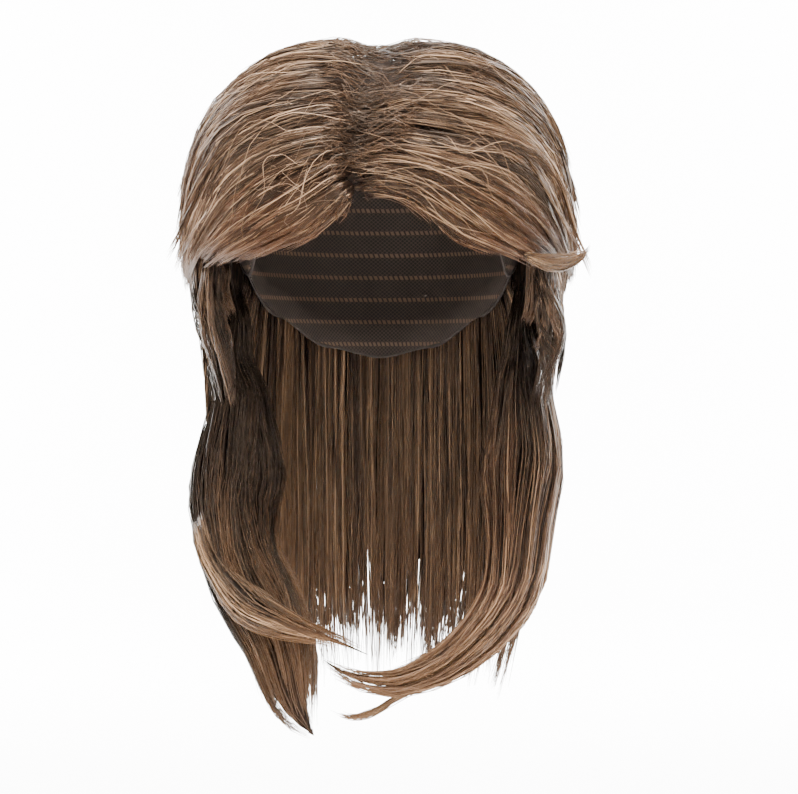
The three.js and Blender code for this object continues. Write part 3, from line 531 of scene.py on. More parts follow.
fringe_hair = hair_material("fringe_hair", FRINGE_DARK, FRINGE_MID, FRINGE_PALE, FRINGE_TIP)
fringe_backing = backing_material("fringe_backing", BACKING_SHADE_DARK, BACKING_SHADE_PALE)
# palest caps the pale strands' tones. It is lower on the right fan: painted shade for the side turned from
# the light.
for name, fan, palest, seed in [("fringe_right", RIGHT_FAN, 0.6, 11), ("fringe_left", LEFT_FAN, 0.8, 12)]:
    rng = np.random.default_rng(seed)
    placed = fan_place(fan, FRINGE_SETBACK)
    under = lock_rows(rng, 200, (0.02, 1.98), (-0.02, 0.25), (0.75, 1.0), (-0.004, -0.003),
                      (-0.003, -0.002), (0.04, 0.08), 0.0003, drift=0.08, tone=(0, 0.45))
    over = lock_rows(rng, 34, (-0.02, 2.0), (-0.03, 0.35), (0.6, 1.03), (-0.004, -0.002),
                     (-0.0015, 0.0014), (0.05, 0.12), 0.0012, drift=0.14, curl=0.0006, tone=(0, palest))
    edge = lock_rows(rng, 16, (-0.3, 0.1), (0, 0.4), (0.3, 0.95), (-0.004, -0.002), (-0.004, -0.001),
                     (0.04, 0.12), 0.0015, drift=0.2, tone=(0, palest))
    hairline = lock_rows(rng, 10, (-0.05, 0.5), (-0.02, 0.05), (0.2, 0.5), (-0.002, 0.001),
                         (-0.004, -0.001), (0.08, 0.2), 0.001, drift=0.15)
    groups = [comb(rng, placed, under, 3, 8, 0.1), comb(rng, placed, over, 27, 8, 0.5),
              comb(rng, placed, edge, 8, 8, -0.2), comb(rng, placed, hairline, 8, 8, 0)]
    add_backing(name, fringe_backing)
    add_strands(name + "_strands", groups, FRINGE_STRAND, fringe_hair, rng)


# The crown's hair is combed sideways from the part to the temples in overlapping locks, cut in steps,
# so that their ends lie like shingles. Synthetic hair sewn to the cap, with a few stray pale strands.

CROWN_DARK = (0.012, 0.0065, 0.004, 1)
CROWN_MID = (0.055, 0.029, 0.0155, 1)
CROWN_PALE = (0.275, 0.173, 0.104, 1)
CROWN_TIP = (0.077, 0.038, 0.019, 1)
CROWN_ROOT_REACH = 0.12
CROWN_TRIM = -0.07
CROWN_STRAND = 0.00034

crown_hair = hair_material("crown_hair", CROWN_DARK, CROWN_MID, CROWN_PALE, CROWN_TIP,
                           CROWN_ROOT_REACH)
crown_backing = backing_material("crown_backing", BACKING_SHADE_DARK, BACKING_SHADE_PALE)
# palest caps the pale strands' tones. It is lower on the right fan: painted shade for the side turned from
# the light.
for name, fan, palest, seed in [("crown_right", RIGHT_FAN, 0.75, 21), ("crown_left", LEFT_FAN, 1, 22)]:
    rng = np.random.default_rng(seed)
    placed = fan_place(fan, 0)
    under = lock_rows(rng, 200, (2.02, 4.98), (-0.02, 0.3), (0.95, 1.15), (-0.004, -0.003),
                      (-0.003, -0.002), (0.05, 0.1), 0.0003, drift=0.1, tone=(0, 0.45))
    over = lock_rows(rng, 38, (2.0, 5.0), (-0.03, 0.5), (0.65, 1.15), (-0.004, -0.002), (-0.002, 0.0008),
                     (0.07, 0.15), 0.0012, drift=0.2, curl=-0.001, tone=(0, palest))
    ends = lock_rows(rng, 12, (2.6, 5.2), (0.4, 0.7), (1.1, 1.35), (-0.003, -0.001), (-0.003, -0.001),
                     (0.08, 0.16), 0.001, drift=0.1, curl=-0.006)
    tips = lock_rows(rng, 15, (2.4, 6.0), (0.4, 0.65), (0.8, 1.08), (-0.003, -0.001), (-0.001, 0.0005),
                     (0.05, 0.09), 0.001, drift=0.3, curl=0.0035, sway=0.08, tone=(0, palest))
    if fan is LEFT_FAN:
        # Painted shadow and highlight: the locks just under the swoop are darkened in tone as its shadow and
        # also lowered, and the swoop's own locks are made paler as a painted highlight and also raised.
        shadow = rise(2.3, 2.5, over["root"]) * (1 - rise(2.9, 3.05, over["root"]))
        over["tone"] *= 1 - shadow
        over["high"] -= 0.0015 * shadow
        lit_swoop = rise(2.95, 3.05, over["root"]) * (1 - rise(3.4, 3.7, over["root"]))
        over["tone"] += 0.35 * lit_swoop
        over["high"] += 0.0014 * lit_swoop
    groups = [comb(rng, placed, under, 3, 8, 0.1), comb(rng, placed, over, 25, 8, 0.5),
              comb(rng, placed, ends, 20, 8, 0.6), comb(rng, placed, tips, 12, 8, 0.9)]
    add_backing(name, crown_backing, CROWN_TRIM)
    add_strands(name + "_strands", groups, CROWN_STRAND, crown_hair, rng)


# Short strands cross the part over a low ridge of matted roots, and a few long pale ones have come
# loose and lie across the crown and the fringe. They are the same hair and root in the same net.

RIDGE_HALF_WIDTH = 0.009
RIDGE_HALF_HEIGHT = 0.0045
RIDGE_DEPTH = 0.0165
RIDGE_STEPS = 40
RIDGE_SIDES = 10
PART_STRAND = 0.00024
STRAY_STRAND = 0.00015

places = np.linspace(0.6, 10, RIDGE_STEPS)
ways = guide_way(RIGHT_FAN, places, np.zeros(places.shape))
middles = in_hair(ways, np.ones(places.shape), np.full(places.shape, -RIDGE_DEPTH))
travel = unit(np.gradient(middles, axis=0))
sides = unit(np.cross(travel, ways))
rounding = np.sqrt(np.clip(1 - np.linspace(-1, 1, RIDGE_STEPS) ** 8, 0.01, 1))[:, None]
angles = np.arange(RIDGE_SIDES) * 2 * math.pi / RIDGE_SIDES
across = (sides * RIDGE_HALF_WIDTH * rounding)[:, None]
outward = (ways * RIDGE_HALF_HEIGHT * rounding)[:, None]
points = middles[:, None] + np.cos(angles)[:, None] * across + np.sin(angles)[:, None] * outward
grid = np.arange(RIDGE_STEPS * RIDGE_SIDES).reshape(RIDGE_STEPS, RIDGE_SIDES)
turned = np.roll(grid, -1, axis=1)
faces = np.stack([grid[:-1], grid[1:], turned[1:], turned[:-1]], -1).reshape(-1, 4).tolist()
mesh = bpy.data.meshes.new("part_roots")
mesh.from_pydata(points.reshape(-1, 3).tolist(), [], faces + [grid[0].tolist(), grid[-1, ::-1].tolist()])
mesh.shade_smooth()
# The ridge takes the backing's painted shade.
mesh.materials.append(crown_backing)
roots = bpy.data.objects.new("part_roots", mesh)
bpy.context.scene.collection.objects.link(roots)
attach(roots, "root")

rng = np.random.default_rng(24)
groups = []
for fan in (RIGHT_FAN, LEFT_FAN):
    placed = fan_place(fan, -0.0005)
    crossing = lock_rows(rng, 100, (1.2, 8.5), (-0.08, 0.0), (0.1, 0.26), (-0.002, 0.001), (-0.004, -0.001),
                         (0.2, 0.5), 0.0012, drift=0.5, sway=0.12, tone=(0, 0.6))
    paths, tones = comb(rng, placed, crossing, 3, 6, -0.4)
    tones[:, 0] *= 0.8
    groups.append((paths, tones))
add_strands("part_strands", groups, PART_STRAND, crown_hair, rng)
groups = []
for fan in (RIGHT_FAN, LEFT_FAN):
    placed = fan_place(fan, 0)
    loose = lock_rows(rng, 75, (0.2, 7), (-0.08, 0.4), (0.4, 1.05), (0, 0.001), (-0.001, 0.0015),
                      (0.3, 0.8), 0.001, drift=0.7, curl=0.001, sway=0.22)
    paths, tones = comb(rng, placed, loose, 1, 10, -0.3)
    tones[:, 0] = 0.75 + 0.25 * tones[:, 0]
    groups.append((paths, tones))
add_strands("stray_strands", groups, STRAY_STRAND, crown_hair, rng)


# Behind the crown the hair fans out from the whorl, over the back of the head and down to the nape,
# in the same overlapping locks. It is sewn to the cap too, and covers the roots of the nape hair.

CROWN_BACK_STRAND = 0.00038

for name, fan, seed in [("crown_back_right", RIGHT_FAN, 31), ("crown_back_left", LEFT_FAN, 32)]:
    rng = np.random.default_rng(seed)
    placed = fan_place(fan, 0)
    under = lock_rows(rng, 200, (5.02, 9.98), (0, 0.35), (1.0, 1.2), (-0.004, -0.003),
                      (-0.003, -0.002), (0.08, 0.14), 0.0003, drift=0.12, tone=(0, 0.45))
    over = lock_rows(rng, 26, (5.0, 10.0), (0, 0.4), (0.6, 1.1), (-0.004, -0.002), (-0.002, 0.0008),
                     (0.1, 0.2), 0.0012, drift=0.25, curl=0.001)
    ends = lock_rows(rng, 26, (5.0, 10.1), (0.3, 0.7), (1.15, 1.4), (-0.003, -0.002), (-0.002, -0.0005),
                     (0.1, 0.2), 0.0012, drift=0.2, curl=-0.005)
    groups = [comb(rng, placed, under, 3, 8, 0.1), comb(rng, placed, over, 22, 8, 0.6),
              comb(rng, placed, ends, 22, 8, 0.6)]
    add_backing(name, crown_backing, CROWN_TRIM)
    add_strands(name + "_strands", groups, CROWN_BACK_STRAND, crown_hair, rng)


# The sides are short feathered layers over the ears, cut to points that stand a little off the head.
# They come out from under the crown's hair and cover the roots of the two tails.

SIDE_DARK = (0.022, 0.012, 0.007, 1)
SIDE_MID = (0.061, 0.033, 0.018, 1)
SIDE_PALE = (0.240, 0.156, 0.100, 1)
SIDE_TIP = (0.068, 0.037, 0.021, 1)
SIDE_GUIDES = np.array([
    (0.79, -0.56, 0.3, 0.82, -0.56, 0, 0.84, -0.5, -0.25, 0.86, -0.42, -0.47),
    (0.9, -0.3, 0.32, 0.95, -0.3, 0, 0.95, -0.25, -0.25, 0.92, -0.18, -0.55),
    (0.95, 0, 0.32, 1, 0, 0, 0.98, 0.02, -0.25, 0.94, 0.05, -0.52),
    (0.92, 0.26, 0.3, 0.96, 0.27, 0, 0.95, 0.28, -0.25, 0.9, 0.29, -0.5),
])
LAYER_AIR = 0.0042
SIDE_REACH = 0.74
SIDE_INNER_REACH = 0.4
SIDE_TRIM = -0.115
SIDE_STRAND = 0.00036


def layer_line(way):
    """The share of the hair's depth where the under layers stop and the crown's hair begins."""
    radius = form_radius(way)
    height = way[..., 2] * radius / np.where(way[..., 2] > 0, FORM_ABOVE, FORM_BELOW)
    front = 0.45 + 0.55 * rise(-0.95, -0.6, way[..., 1] * radius / FORM_FRONT)
    return 0.8 * rise(0.62, -0.1, height) * front, height


def side_place(side, reach):
    """Places side hair, which stands out to a share of the hair's depth at its ends."""
    guides = SIDE_GUIDES * np.tile([side, 1, 1], 4)

    def placed(guide, share, lift):
        way = guide_way(guides, guide, share)
        line, height = layer_line(way)
        flare = rise(0.05, -0.2, height)
        out = line + (reach - line) * flare
        return in_hair(way, out, lift - LAYER_AIR * (1 - flare))

    return placed


side_hair = hair_material("side_hair", SIDE_DARK, SIDE_MID, SIDE_PALE, SIDE_TIP)
side_backing = backing_material("side_backing", BACKING_SHADE_DARK, BACKING_SHADE_PALE)
for name, side, seed in [("side_right", -1, 41), ("side_left", 1, 42)]:
    rng = np.random.default_rng(seed)
    placed = side_place(side, SIDE_REACH)
    under = lock_rows(rng, 110, (0.02, 2.98), (0.3, 0.6), (0.95, 1.15), (-0.003, -0.002),
                      (-0.003, -0.001), (0.06, 0.1), 0.0003, drift=0.12, tone=(0, 0.45))
    over = lock_rows(rng, 22, (0, 3), (0.25, 0.6), (0.9, 1.3), (-0.003, -0.001), (-0.002, 0.001),
                     (0.1, 0.2), 0.0012, drift=0.2, curl=0.0005, sway=0.05)
    # The inner locks lie deep between the side layers and the tails. Their low tones and the darkening of
    # each strand's own tone are painted shade.
    inner = lock_rows(rng, 16, (0, 3), (0.3, 0.7), (0.9, 1.15), (-0.003, -0.001), (-0.003, 0.001),
                      (0.1, 0.2), 0.003, drift=0.2, sway=0.05, tone=(0, 0.2))
    tips = lock_rows(rng, 8, (0.2, 3), (0.4, 0.7), (1.0, 1.25), (-0.002, 0), (-0.001, 0.001),
                     (0.1, 0.16), 0.001, drift=0.25, curl=0.003, sway=0.1)
    paths, tones = comb(rng, side_place(side, SIDE_INNER_REACH), inner, 18, 8, 0.2)
    tones[:, 0] *= 0.6
    groups = [comb(rng, placed, under, 2, 8, 0.1), comb(rng, placed, over, 20, 8, 0.6), (paths, tones),
              comb(rng, placed, tips, 12, 8, 0.9)]
    add_backing(name, side_backing, SIDE_TRIM)
    add_strands(name + "_strands", groups, SIDE_STRAND, side_hair, rng)


# The nape hair hangs down the back in three hanks from the cap's lower rows, and thins towards its
# ends. Its inner face shows from the front, between the tails.

NAPE_DARK = (0.011, 0.006, 0.004, 1)
NAPE_MID = (0.041, 0.022, 0.011, 1)
NAPE_PALE = (0.153, 0.091, 0.052, 1)
NAPE_TIP = (0.054, 0.027, 0.014, 1)
NAPE_LENGTH = 0.318
NAPE_TRIM = -0.24
NAPE_PULL_RATE = -1.5
NAPE_STRAND = 0.00048

# Columns: fall, how far it lies under the crown's hair, outer share, inner share, spread and depth
NAPE_ROWS = [
    (0.2, 1, 0, 0, 1, 1),
    (0.28, 1, 0, 0, 1, 1),
    (0.37, 1, 0, 0, 1, 1),
    (0.43, 0.6, 0.9, 0, 0.96, 1),
    (0.54, 0, 1, 0.08, 0.93, 0.95),
    (0.66, 0, 1, 0.16, 0.91, 0.88),
    (0.78, 0, 0.98, 0.26, 0.88, 0.82),
    (0.9, 0, 0.93, 0.42, 0.82, 0.77),
    (1, 0, 0.82, 0.68, 0.74, 0.74),
]


def nape_place(rows, outer=True):
    """Places nape hair on its outer or inner face: turn in degrees, row and lift off that face."""
    def placed(turn, place, lift):
        fall, under, out, inn, spread, deep = np.moveaxis(along(rows, place), -1, 0)
        height = -fall * NAPE_LENGTH
        angle = np.radians(turn)
        level = np.maximum(height - MIDDLE[2], -0.32 * FORM_BELOW)
        way = unit(np.stack([-np.cos(angle) * FORM_SIDE, np.sin(angle) * FORM_BACK, level], -1))
        under = np.clip(under, 0, 1)
        thinning = 0.8 * rise(0.6, 1, np.abs(np.cos(angle))) * (1 - under)
        line, _ = layer_line(way)
        out_share = out + (line - out) * rise(0, 1, under)
        in_share = np.maximum(inn, 0) * (1 - thinning) + 0.85 * thinning
        if outer:
            points = in_hair(way, out_share, lift - LAYER_AIR * under)
        else:
            points = in_hair(way, in_share, -lift)
        z = height + (points[..., 2] - height) * under
        return np.stack([points[..., 0] * spread, points[..., 1] * deep, z], -1)

    return placed


nape_hair = hair_material("nape_hair", NAPE_DARK, NAPE_MID, NAPE_PALE, NAPE_TIP)
nape_backing = backing_material("nape_backing", BACKING_SHADE_DARK, BACKING_SHADE_PALE)
for name, turns, seed in [("nape_right", (21, 65), 51), ("nape_middle", (67, 113), 52),
                          ("nape_left", (115, 159), 53)]:
    rng = np.random.default_rng(seed)
    wide = (turns[0] - 5, turns[1] + 5)
    under = lock_rows(rng, 110, wide, (1, 3.6), (7.6, 8.6), (-0.004, -0.003), (-0.0035, -0.002),
                      (1, 2), 0.0003, drift=1, tone=(0, 0.45))
    outer = lock_rows(rng, 24, wide, (1, 3.6), (7.4, 8.8), (-0.004, -0.002), (-0.003, 0),
                      (2, 4), 0.0014, drift=2.5, sway=0.8)
    inner = lock_rows(rng, 95, wide, (1, 3.4), (7.5, 8.7), (-0.001, -0.0005), (-0.0015, 0.0006),
                      (1.2, 2.4), 0.0006, drift=1.5, sway=0.6)
    groups = [comb(rng, nape_place(NAPE_ROWS), under, 2, 9, 0.1),
              comb(rng, nape_place(NAPE_ROWS), outer, 18, 9, 0.45),
              comb(rng, nape_place(NAPE_ROWS, False), inner, 4, 9, 0.15)]
    add_backing(name, nape_backing, NAPE_TRIM, NAPE_PULL_RATE)
    add_strands(name + "_strands", groups, NAPE_STRAND, nape_hair, rng)


# The longest ends of the crown's back layer run on over the nape hair, so that no edge shows between
# the two layers. They are the crown's hair, seen below its edge.

BLEND_ROWS = [
    (0.26, 0, 0.93, 0, 1, 1),
    (0.34, 0, 0.96, 0, 1, 1),
    (0.41, 0, 1, 0, 0.99, 0.99),
    (0.48, 0, 1.02, 0, 0.96, 0.97),
    (0.56, 0, 1.02, 0, 0.94, 0.95),
    (0.66, 0, 1.02, 0, 0.92, 0.89),
]
BLEND_STRAND = 0.00036

blend_hair = hair_material("blend_hair", CROWN_DARK, CROWN_MID, CROWN_PALE, NAPE_TIP, 0.05)
rng = np.random.default_rng(55)
locks = lock_rows(rng, 44, (18, 162), (0, 1), (2.6, 5), (-0.004, -0.002), (-0.002, 0.0005),
                  (1.5, 3.5), 0.001, drift=2, sway=0.5, tone=(0, 0.8))
groups = [comb(rng, nape_place(BLEND_ROWS), locks, 14, 7, 0.6)]
add_strands("nape_blend", groups, BLEND_STRAND, blend_hair, rng)


# The two tails come forwards over the shoulders from under the side layers, each a thick hank with
# locks that part and join again. The left one sweeps across the chest, and both have reddish ends.

TAIL_DARK = (0.0065, 0.0038, 0.0025, 1)
TAIL_MID = (0.041, 0.020, 0.011, 1)
TAIL_PALE = (0.207, 0.120, 0.067, 1)
TAIL_TIP = (0.130, 0.067, 0.034, 1)
CHEST_REACH = 0.084
ROOT_SHARE = 0.3
ROOT_SIDE = 0.076
RIGHT_LENGTH = 0.352
LEFT_LENGTH = 0.321
RIGHT_HALF_WIDTH = 0.0244
LEFT_HALF_WIDTH = 0.0218
TAIL_HALF_DEPTH = 0.024
TAIL_STRAND = 0.0004

# Columns: fall below the cap's top, forward place and the depth share that the flat root takes up
TAIL_ROOTS = [(0.082, -0.003, 0.6), (0.102, -0.002, 1.0), (0.120, -0.002, 1.1), (0.135, -0.001, 1.8)]

# Columns: x in form half widths, y in reaches onto the chest, fall in tail lengths, then the half sizes
# across and through the hank in shares of the tail's, and the turn of its width
RIGHT_TAIL = [
    (-0.752, 0, 0.44, 0.51, 0.86, 8),
    (-0.705, -0.02, 0.489, 0.61, 0.9, 8),
    (-0.7, -0.05, 0.528, 0.73, 0.94, 5),
    (-0.7, -0.1, 0.6, 1, 0.96, 4),
    (-0.724, -0.2, 0.665, 0.98, 0.85, 8),
    (-0.681, -0.42, 0.737, 0.87, 0.7, 12),
    (-0.574, -0.6, 0.801, 0.9, 0.52, 10),
    (-0.492, -0.74, 0.847, 0.84, 0.44, 6),
    (-0.449, -0.82, 0.883, 0.76, 0.38, 4),
    (-0.411, -0.88, 0.933, 0.6, 0.3, 2),
    (-0.366, -0.9, 0.968, 0.4, 0.2, 0),
    (-0.293, -0.91, 1, 0.06, 0.06, 0),
]
LEFT_TAIL = [
    (0.727, 0, 0.483, 0.57, 0.86, -8),
    (0.718, -0.02, 0.536, 0.69, 0.9, -8),
    (0.718, -0.05, 0.614, 0.92, 0.92, -6),
    (0.703, -0.12, 0.682, 1, 0.84, -6),
    (0.69, -0.3, 0.769, 0.76, 0.75, -10),
    (0.659, -0.52, 0.84, 0.72, 0.52, -14),
    (0.6, -0.68, 0.885, 0.64, 0.42, -14),
    (0.49, -0.83, 0.928, 0.54, 0.34, -12),
    (0.362, -0.92, 0.964, 0.45, 0.26, -8),
    (0.245, -0.96, 0.985, 0.39, 0.22, -4),
    (0.107, -1, 1, 0.33, 0.19, 0),
    (-0.019, -1.01, 1, 0.26, 0.15, 0),
    (-0.151, -1.01, 0.989, 0.18, 0.11, 0),
    (-0.264, -1.01, 0.964, 0.06, 0.05, 0),
]


def tail_rows(side, rows, length, half_width, half_depth):
    """The hank's middle, half sizes and turn in metres and degrees, from its flat root down."""
    made = []
    for fall, forward, share in TAIL_ROOTS:
        way = unit(np.array([side * ROOT_SIDE, forward, -MIDDLE[2] - fall]))
        near, far = in_hair(np.stack([way, way]), np.array([0, share * ROOT_SHARE]), np.zeros(2))
        half = abs(far[0] - near[0]) / 2 - CAP_CLEARANCE
        made.append(((near[0] + far[0]) / 2, forward, -fall, half, 0.8 * half_depth, 0))
    for x, y, fall, half, thick, turn in rows:
        middle = (x * FORM_SIDE, y * CHEST_REACH, -fall * length)
        made.append(middle + (half * half_width, thick * half_depth, turn))
    return np.array(made)


def hank_place(rows):
    """Places hair in a hank: the angle round it in turns, the row and the lift off its surface."""
    last = len(rows) - 1

    def placed(turn, place, lift):
        place = np.clip(place, 0, last)
        row = along(rows, place)
        ahead = along(rows[:, :3], np.minimum(place + 0.05, last))
        behind = along(rows[:, :3], np.maximum(place - 0.05, 0))
        travel = unit(ahead - behind)
        heading = np.radians(row[..., 5])
        facing = np.stack([np.sin(heading), -np.cos(heading), np.zeros(heading.shape)], -1)
        across = unit(np.cross(travel, facing))
        through = unit(np.cross(across, travel))
        angle = 2 * math.pi * turn
        half = np.maximum(row[..., 3] + lift, 0.0004)[..., None]
        thick = np.maximum(row[..., 4] + lift, 0.0004)[..., None]
        return (row[..., :3] + across * half * np.cos(angle)[..., None]
                + through * thick * np.sin(angle)[..., None])

    return placed


tail_backing = backing_material("tail_backing", BACKING_SHADE_DARK, BACKING_SHADE_PALE)
right_rows = tail_rows(-1, RIGHT_TAIL, RIGHT_LENGTH, RIGHT_HALF_WIDTH, TAIL_HALF_DEPTH)
left_rows = tail_rows(1, LEFT_TAIL, LEFT_LENGTH, LEFT_HALF_WIDTH, TAIL_HALF_DEPTH)
# The right tail is painted in shade: fewer pale strands, and darkened from the root over its whole length.
# On the left tail the darker upper part is partly the fibre's own dark roots and partly painted shade under
# the side layers.
for name, rows, palest, root_and_shade_share, seed in [("tail_right", right_rows, 0.4, 1.4, 61),
                                             ("tail_left", left_rows, 1, 0.6, 62)]:
    rng = np.random.default_rng(seed)
    tail_hair = hair_material(name + "_hair", TAIL_DARK, TAIL_MID, TAIL_PALE, TAIL_TIP, root_and_shade_share)
    last = len(rows) - 1
    placed = hank_place(rows)
    under = lock_rows(rng, 200, (0, 1), (1, 6), (0.75 * last, last), (-0.002, -0.001),
                      (-0.003, -0.001), (0.01, 0.02), 0.0003, drift=0.03, sway=0.01, tone=(0, 0.45))
    over = lock_rows(rng, 30, (0, 1), (1, 6), (0.7 * last, last), (-0.001, 0), (-0.002, 0.001),
                     (0.02, 0.05), 0.0014, drift=0.05, sway=0.02, tone=(palest - 0.5, palest))
    groups = [comb(rng, placed, under, 2, 13, 0.1), comb(rng, placed, over, 19, 13, 0.5)]
    add_backing(name, tail_backing)
    add_strands(name + "_strands", groups, TAIL_STRAND, tail_hair, rng)


# Strands of the side layers run on past their ends, from the temples down into the two tails, so that
# the short hair and the long hair read as one. Their lower ends are painted dark, as the tails' shade.

TEMPLE_PALE = (0.150, 0.094, 0.058, 1)
TEMPLE_SHADED_TIP = (0.016, 0.009, 0.006, 1)
TEMPLE_STRAND = 0.00034

# Columns: x, y, z, half width and half thickness in metres, and the turn of its width
RIGHT_TEMPLE = [
    (-0.090, -0.054, -0.094, 0.008, 0.012, 8),
    (-0.091, -0.046, -0.118, 0.009, 0.012, 8),
    (-0.089, -0.036, -0.138, 0.009, 0.011, 8),
    (-0.085, -0.026, -0.160, 0.009, 0.010, 8),
    (-0.082, -0.018, -0.185, 0.008, 0.008, 8),
    (-0.080, -0.014, -0.210, 0.006, 0.006, 8),
]
LEFT_TEMPLE = [
    (0.086, -0.054, -0.094, 0.008, 0.012, -8),
    (0.091, -0.044, -0.118, 0.008, 0.012, -8),
    (0.094, -0.034, -0.138, 0.008, 0.011, -8),
    (0.092, -0.026, -0.158, 0.008, 0.010, -8),
    (0.087, -0.020, -0.180, 0.008, 0.008, -8),
    (0.083, -0.016, -0.205, 0.006, 0.006, -8),
]

temple_hair = hair_material("temple_hair", TAIL_DARK, TAIL_MID, TEMPLE_PALE, TEMPLE_SHADED_TIP, 0.1)
for name, rows, seed in [("temple_right", RIGHT_TEMPLE, 81), ("temple_left", LEFT_TEMPLE, 82)]:
    rng = np.random.default_rng(seed)
    locks = lock_rows(rng, 16, (0, 1), (0, 0.8), (2.6, 4.7), (-0.006, 0), (-0.007, 0.001), (0.03, 0.09),
                      0.001, drift=0.1, sway=0.05, tone=(0, 0.6))
    groups = [comb(rng, hank_place(np.array(rows)), locks, 16, 9, 0.4)]
    add_strands(name, groups, TEMPLE_STRAND, temple_hair, rng)


# Loose locks: one crosses the right tail, a thin one hangs below the left tail's sweep, and a short
# one flicks out at the left temple. They are the same hair, held by the locks that they leave.

LOCK_DARK = (0.018, 0.010, 0.006, 1)
LOCK_MID = (0.079, 0.042, 0.021, 1)
LOCK_PALE = (0.270, 0.162, 0.091, 1)
LOCK_TIP = (0.117, 0.058, 0.028, 1)
LOCK_STRAND = 0.0003

# Columns as in the temple rows
CROSSING_LOCK = [
    (-0.0980, -0.0350, -0.2340, 0.0025, 0.0010, 8),
    (-0.0930, -0.0460, -0.2530, 0.0040, 0.0012, 8),
    (-0.0842, -0.0538, -0.2675, 0.0047, 0.0015, 8),
    (-0.0699, -0.0676, -0.2827, 0.0085, 0.0030, 8),
    (-0.0536, -0.0756, -0.2908, 0.0073, 0.0027, 8),
    (-0.0400, -0.0789, -0.2957, 0.0043, 0.0018, 8),
    (-0.0240, -0.0852, -0.2996, 0.0021, 0.0011, 8),
    (-0.0050, -0.0889, -0.3069, 0.0008, 0.0005, 8),
]
LOWER_LOCK = [
    (0.0330, -0.0724, -0.3162, 0.0014, 0.0014, 0),
    (0.0188, -0.0769, -0.3268, 0.0018, 0.0018, 0),
    (0.0070, -0.0798, -0.3329, 0.0018, 0.0018, 0),
    (-0.0021, -0.0823, -0.3377, 0.0017, 0.0017, 0),
    (-0.0140, -0.0832, -0.3403, 0.0013, 0.0013, 0),
    (-0.0252, -0.0832, -0.3361, 0.0005, 0.0005, 0),
]

# Columns: a way in shares of the form, how far it stands off the form in reaches, and half sizes
FLICK_LOCK = [
    (0.705, -0.8, -0.1, -0.43, 0.6, 0.6),
    (0.79, -0.72, -0.135, -0.35, 1.3, 1),
    (0.865, -0.62, -0.125, 0, 1.2, 0.9),
    (0.93, -0.54, -0.08, 0.5, 0.7, 0.6),
    (0.99, -0.48, 0, 1, 0.15, 0.15),
]
FLICK_REACH = 0.010
FLICK_HALF = 0.0025


def flick_rows():
    made = []
    for x, y, z, out, half, thick in FLICK_LOCK:
        shares = np.array([[x, y, z]])
        way = unit(shares * form_half(shares))
        point = in_hair(way, np.ones(1), thick * FLICK_HALF + out * FLICK_REACH)[0]
        made.append((*point, half * FLICK_HALF, thick * FLICK_HALF, 40))
    return np.array(made)


lock_hair = hair_material("loose_locks", LOCK_DARK, LOCK_MID, LOCK_PALE, LOCK_TIP, 0.02)
lock_backing = backing_material("lock_backing", BACKING_SHADE_DARK, BACKING_SHADE_PALE)
for name, rows, count, spread, seed in [("crossing_lock", np.array(CROSSING_LOCK), 9, 0.002, 71),
                                        ("lower_lock", np.array(LOWER_LOCK), 4, 0.0008, 72),
                                        ("flick_lock", flick_rows(), 5, 0.001, 73)]:
    rng = np.random.default_rng(seed)
    last = len(rows) - 1
    locks = lock_rows(rng, count, (0, 1), (-0.1, 0.1 * last), (0.8 * last, last), (-0.0003, 0.0003),
                      (-0.0006, spread), (0.08, 0.14), spread / 2, drift=0.06, sway=0.03)
    add_backing(name, lock_backing)
    groups = [comb(rng, hank_place(rows), locks, 20, 13, 0.3)]
    add_strands(name + "_strands", groups, LOCK_STRAND, lock_hair, rng)


# The stage: a pale round floor that curves up all round, so that no horizon shows behind the wig,
# with soft light from above, left and right, and the camera straight in front as in the photograph.

STAGE_COLOUR = (0.93, 0.93, 0.93, 1)
STAGE_FLOOR = -0.55
STAGE_RADIUS = 3.6
STAGE_CURVE = 1.2
STAGE_HEIGHT = 3.2
WORLD_LIGHT = 2.45
CAMERA_PLACE = (0.011, -1.5, -0.1736)
CAMERA_LENS = 123

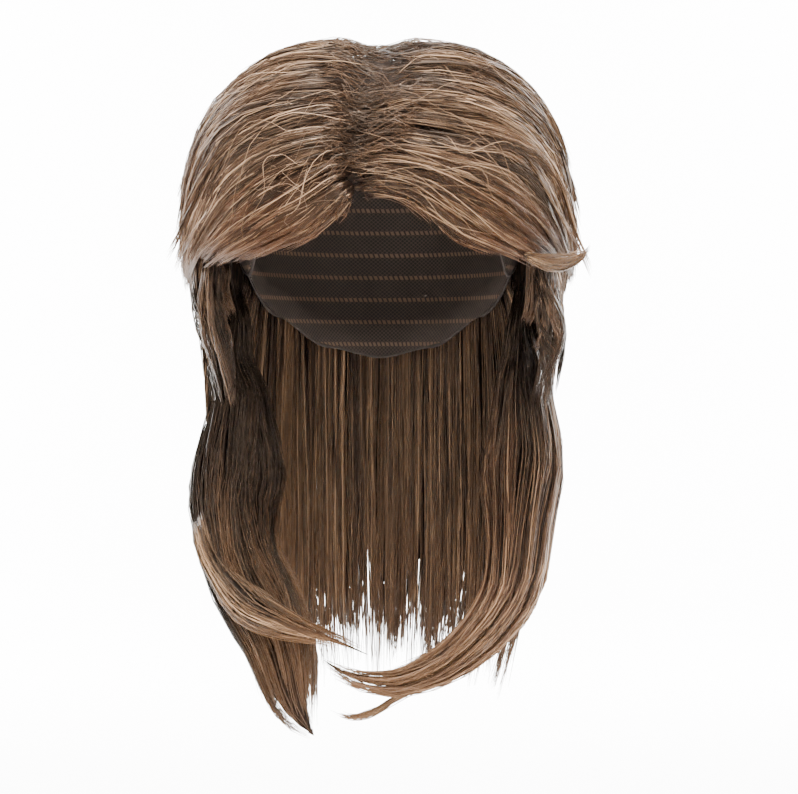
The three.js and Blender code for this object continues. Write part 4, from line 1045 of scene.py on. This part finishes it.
bpy.ops.mesh.primitive_cylinder_add(vertices=96, radius=STAGE_RADIUS, depth=STAGE_HEIGHT,
                                    end_fill_type="NOTHING",
                                    location=(0, 0, STAGE_FLOOR + STAGE_HEIGHT / 2))
stage = bpy.context.object
bpy.ops.object.mode_set(mode="EDIT")
bpy.ops.mesh.select_all(action="DESELECT")
bpy.ops.object.mode_set(mode="OBJECT")
for vert in stage.data.vertices:
    vert.select = vert.co.z < 0
bpy.ops.object.mode_set(mode="EDIT")
bpy.ops.mesh.select_mode(type="EDGE")
bpy.ops.mesh.edge_face_add()
bpy.ops.mesh.bevel(offset=STAGE_CURVE, segments=12, affect="EDGES")
bpy.ops.object.mode_set(mode="OBJECT")
bpy.ops.object.shade_smooth()
stage.name = "stage"
pale, _, shader = new_material("stage_paper", 0.9)
shader.inputs["Base Color"].default_value = STAGE_COLOUR
stage.data.materials.append(pale)

HAIR_MIDDLE = (0, 0, -0.14)
BACKDROP = (0, STAGE_RADIUS, -0.1)
for name, spot, aim, size, power, colour in [
    ("key_light", (0.8, -1.5, 1.5), HAIR_MIDDLE, 1.1, 20, (1, 0.98, 0.95)),
    ("fill_light", (-1.7, -1.2, 0.2), HAIR_MIDDLE, 1.5, 6, (0.97, 0.98, 1)),
    ("top_light", (-0.15, -0.3, 1.7), HAIR_MIDDLE, 1.1, 280, (1, 0.99, 0.97)),
    ("back_light", (0.2, 2.4, 0.6), HAIR_MIDDLE, 1.6, 30, (1, 1, 1)),
    ("left_backdrop_light", (-1.9, 1.9, 0.9), BACKDROP, 1.5, 430, (1, 1, 1)),
    ("right_backdrop_light", (1.9, 1.9, 0.9), BACKDROP, 1.5, 430, (1, 1, 1)),
]:
    bpy.ops.object.light_add(type="AREA", location=spot)
    light = bpy.context.object
    light.name = name
    light.data.size = size
    light.data.energy = power
    light.data.color = colour
    light.rotation_euler = (Vector(aim) - light.location).to_track_quat("-Z", "Y").to_euler()

world = bpy.data.worlds.new("studio")
bpy.context.scene.world = world
world.use_nodes = True
world.node_tree.nodes["Background"].inputs["Color"].default_value = (1, 1, 1, 1)
world.node_tree.nodes["Background"].inputs["Strength"].default_value = WORLD_LIGHT

bpy.ops.object.camera_add(location=CAMERA_PLACE, rotation=(math.pi / 2, 0, 0))
camera = bpy.context.object
camera.name = "photo_camera"
camera.data.sensor_width = 36
camera.data.lens = CAMERA_LENS
bpy.context.scene.camera = camera
